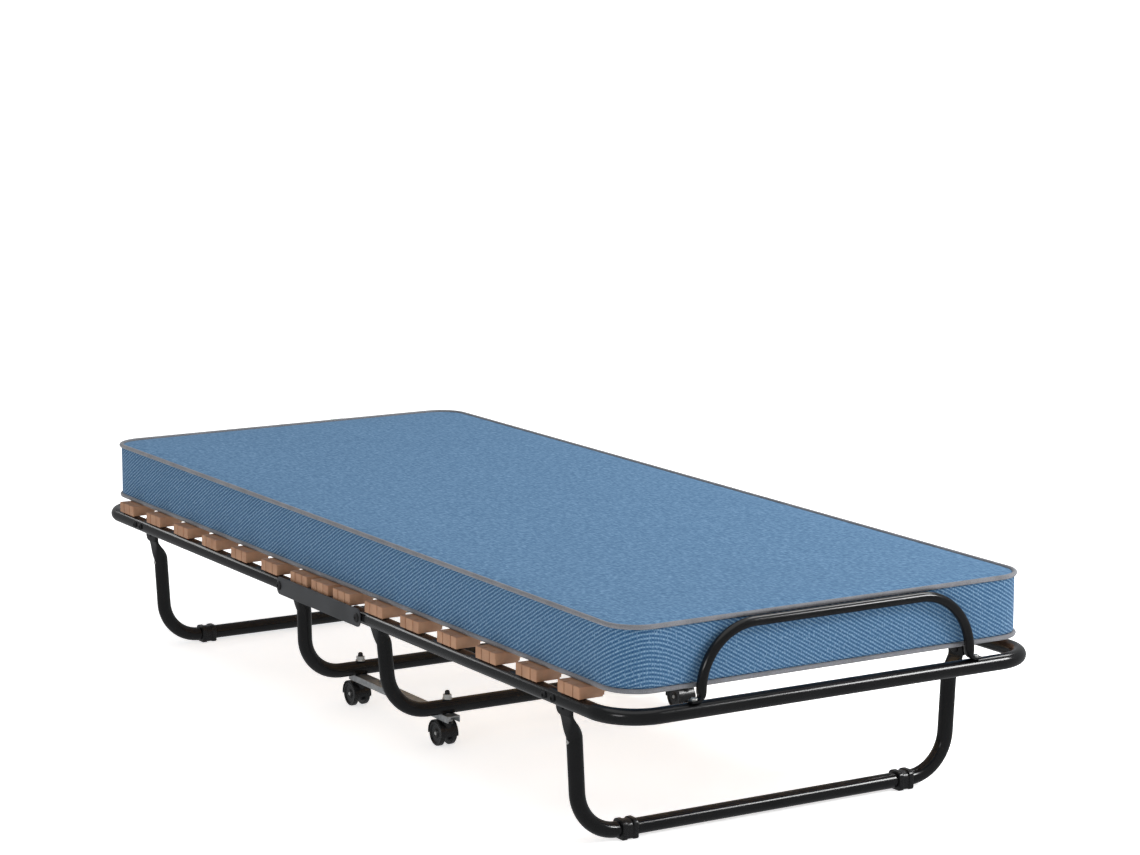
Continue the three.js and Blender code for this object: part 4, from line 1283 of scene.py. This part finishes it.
        hinge, rise = place(self.hinge.x), self.low - self.hinge.z
        mitre = place(self.hinge.x + gap)
        half = self.section(cover, f"mattress_pad_{label}", f"half_{label}", [(mitre, toward(-1, 1))])
        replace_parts(half, f"mattress_{label}")
        for kind, body, side in (("inner", "trolley", -1), ("outer", f"half_{label}", 1)):
            mitre = place(self.hinge.x + side * gap)
            root = place(self.hinge.x + side * rise, self.low)
            wedge = [(mitre, toward(side, -1)), (hinge, toward(-side, 0))]
            upper = self.section(cover, f"fold_{kind}_{label}", body, [*wedge, (root, toward(-side, -1))])
            lower = self.section(cover, f"fold_root_{kind}_{label}", body, [*wedge, (root, toward(side, 1))])
            for seam, z, pad, lean, depth in (
                ("top", self.high, upper, 1, beyond),
                ("base", self.low, lower, 0, rise + self.tuck),
            ):
                start, stop = sorted((self.hinge.x, self.hinge.x + side * (z - self.hinge.z) + side * beyond))
                cord = self.cord(f"piping_{seam}_{kind}_{label}", body, z, start, stop, sign)
                for piece in (pad, cord):
                    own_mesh(piece)
        for seam, z in (("top", self.high), ("base", self.low)):
            start = self.hinge.x + z - self.hinge.z + beyond
            self.cord(f"piping_{seam}_{label}", f"half_{label}", z, start, None, sign)

    def build(self) -> None:
        """Makes the cover, presses it out, cuts it at the folds and sews in the piping."""
        cover = self.cover()
        self.press_out(cover)
        rounding = cover.modifiers.new("subdivision", "SUBSURF")
        rounding.levels = rounding.render_levels = 1
        shown = cover.evaluated_get(bpy.context.evaluated_depsgraph_get())
        fine = bpy.data.meshes.new_from_object(shown)
        cover.modifiers.clear()
        cover.data = fine
        for end in End:
            self.end_parts(cover, end)
        x, z, gap = self.hinge.x, self.hinge.z, self.fold_gap
        cuts = [(Vector((s * (x - gap), 0, z)), Vector((s, 0, 1)).normalized()) for s in (1, -1)]
        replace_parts(self.section(cover, "mattress_pad_middle", "trolley", cuts), "mattress_middle")
        for seam, height in (("top", self.high), ("base", self.low)):
            reach = x - (height - z + gap + self.sink)
            self.cord(f"piping_{seam}_middle", "trolley", height, -reach, reach, 1)
        bpy.data.objects.remove(cover)


# ---------------------------------------------------------------- clip


@dataclass
class LoopClip:
    """The moulded clip that joins the two loops when the bed is folded."""

    paints: Paints
    wall: float = 0.003
    mouth: float = 110.0

    def build(self) -> None:
        """Makes the clip: a flanged strap with an open hook near each end and a stub between them."""
        lo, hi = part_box("loop_clip")
        x, _, z = JOINTS["clip_swing"]["pos_m"]
        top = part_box("mattress_loop_head")[1].z - 0.008
        reach = top - lo.z - 0.024
        inside = 0.0083
        closed = math.pi - math.radians(self.mouth / 2)
        t = np.linspace(-closed, closed, 40)

        def hook(height: float, r: float, width: float) -> Shape:
            """An open ring of inner radius r about a tube at that height."""
            centre = np.array([x, height])
            ring = lambda q, a: centre + q * np.stack([np.cos(a), np.sin(a)], 1)
            outline = np.vstack([ring(r + self.wall, t), ring(r, t[::-1])])
            middle = (lo.y + hi.y) / 2
            return slab(outline, middle - width / 2, middle + width / 2, "y")

        width = hi.y - lo.y
        strap = block((hi.x - self.wall, lo.y, lo.z), (hi.x, hi.y, top + 0.001), 0.0006, 0.0012)
        shape = strap + hook(top, inside, width) + hook(top - reach, inside, width)
        shape += hook(top - reach / 2, inside, width * 0.5)
        for y in (lo.y, hi.y - 0.002):
            low, high = (hi.x - 0.006, y, top - reach + 0.010), (hi.x - 0.0005, y + 0.002, top - 0.010)
            shape += block(low, high, 0.0004, 0.0006)
        shape.piece("clip_strap", self.paints.clip, "clip", "clip_plastic", ("loop_clip",))


# ---------------------------------------------------------------- studio


@dataclass
class Studio:
    """Pale floor, soft lights and the camera."""

    eye: tuple[float, float, float] = (4.7428, -2.7780, 1.4317)
    heading: float = 148.77
    pitch: float = 9.59
    lens: float = 100.9
    glow: float = 0.75

    def floor(self) -> None:
        """A wide acrylic floor, lit a little from below so that shadows stay pale."""
        paint = self.acrylic("studio_floor", self.glow)
        corners = 90 * np.array([(-1, -1, 0), (1, -1, 0), (1, 1, 0), (-1, 1, 0.0)])
        made = self.plain("studio_floor", Shape(corners, [(0, 1, 2, 3)]), paint)
        made.visible_glossy = False

    def backdrop(self) -> None:
        """A pale dome that only the camera sees, so that no horizon shows from any side."""
        t = np.linspace(0, math.pi / 2, 13)
        dome = lathe([(60 * math.cos(a), 60 * math.sin(a)) for a in t], "z", (0, 0, -0.5), 64)
        made = self.plain("studio_backdrop", dome, self.acrylic("studio_backdrop", 1.0))
        made.visible_glossy = made.visible_diffuse = made.visible_shadow = made.visible_transmission = False

    def acrylic(self, name: str, glow: float) -> bpy.types.Material:
        """White acrylic lit from behind, with a faint mottle."""
        g = Graph(name)
        cloud = g.add("TexNoise", {"Vector": g.where, "Scale": 3, "Detail": 2})
        mottle = g.add("ValToRGB", {0: cloud}, stops=((0.3, linear("f0f0f0")), (0.7, linear("f5f5f5"))))
        return g.finish(Base_Color=mottle, Roughness=0.8, Emission_Color=mottle, Emission_Strength=glow)

    def plain(self, name: str, shape: Shape, paint: bpy.types.Material) -> bpy.types.Object:
        """Puts a shape in the studio, where it belongs to no body."""
        mesh = bpy.data.meshes.new(name)
        mesh.from_pydata(shape.verts.tolist(), [], shape.faces)
        mesh.materials.append(paint)
        made = put(name, mesh)
        return made

    def softbox(self, name: str, at: tuple, aim: tuple, size: tuple[float, float], power: float) -> None:
        """A rectangular soft light aimed at a point."""
        lamp = bpy.data.lights.new(name, "AREA")
        lamp.shape, lamp.size, lamp.size_y, lamp.energy = "RECTANGLE", size[0], size[1], power
        made = put(name, lamp)
        made.location = at
        made.rotation_euler = (Vector(aim) - Vector(at)).to_track_quat("-Z", "Y").to_euler()

    def sky(self) -> None:
        """An even, near-white surround."""
        world = bpy.data.worlds.new("studio_surround")
        world.use_nodes = True
        shade = world.node_tree.nodes["Background"]
        shade.inputs["Color"].default_value = linear("f6f8fa")
        shade.inputs["Strength"].default_value = 0.36
        bpy.context.scene.world = world

    def camera(self) -> None:
        """The camera: a long lens, a little above the bed."""
        made = put("camera", bpy.data.cameras.new("camera"))
        made.data.lens, made.data.sensor_width = self.lens, 36
        made.location = self.eye
        made.rotation_euler = (math.radians(90 - self.pitch), 0, math.radians(self.heading - 90))
        bpy.context.scene.camera = made

    def build(self) -> None:
        """Sets up the floor, the surround, the lights and the camera."""
        self.camera()
        self.floor()
        self.backdrop()
        self.sky()
        self.softbox("overhead", (0.3, 2.0, 3.1), (0, 0, 0.25), (0.8, 1.8), 48)
        self.softbox("back", (-3.6, -1.6, 1.7), (0, 0, 0.25), (1.2, 0.6), 9)
        self.softbox("front", (2.6, -4.4, 2.2), (0, 0, 0.25), (1.6, 0.9), 34)
        self.softbox("side", (2.9, 2.5, 2.3), (0.9, 0, 0.15), (1.2, 0.75), 84)
        sun = bpy.data.lights.new("ceiling", "SUN")
        sun.energy, sun.angle = 0.9, math.radians(70)
        put("ceiling", sun)
        bpy.context.scene.view_settings.view_transform = "Standard"


def main() -> None:
    """Builds the studio and the cot."""
    logging.basicConfig(level=logging.INFO, format="%(name)s: %(message)s")
    Studio().build()
    paints = Paints()
    for part in (TubeFrame, Fittings, Casters, Slats, Mattress, LoopClip):
        LOG.info("building %s", part.__name__)
        part(paints).build()


if __name__ == "__main__":
    main()
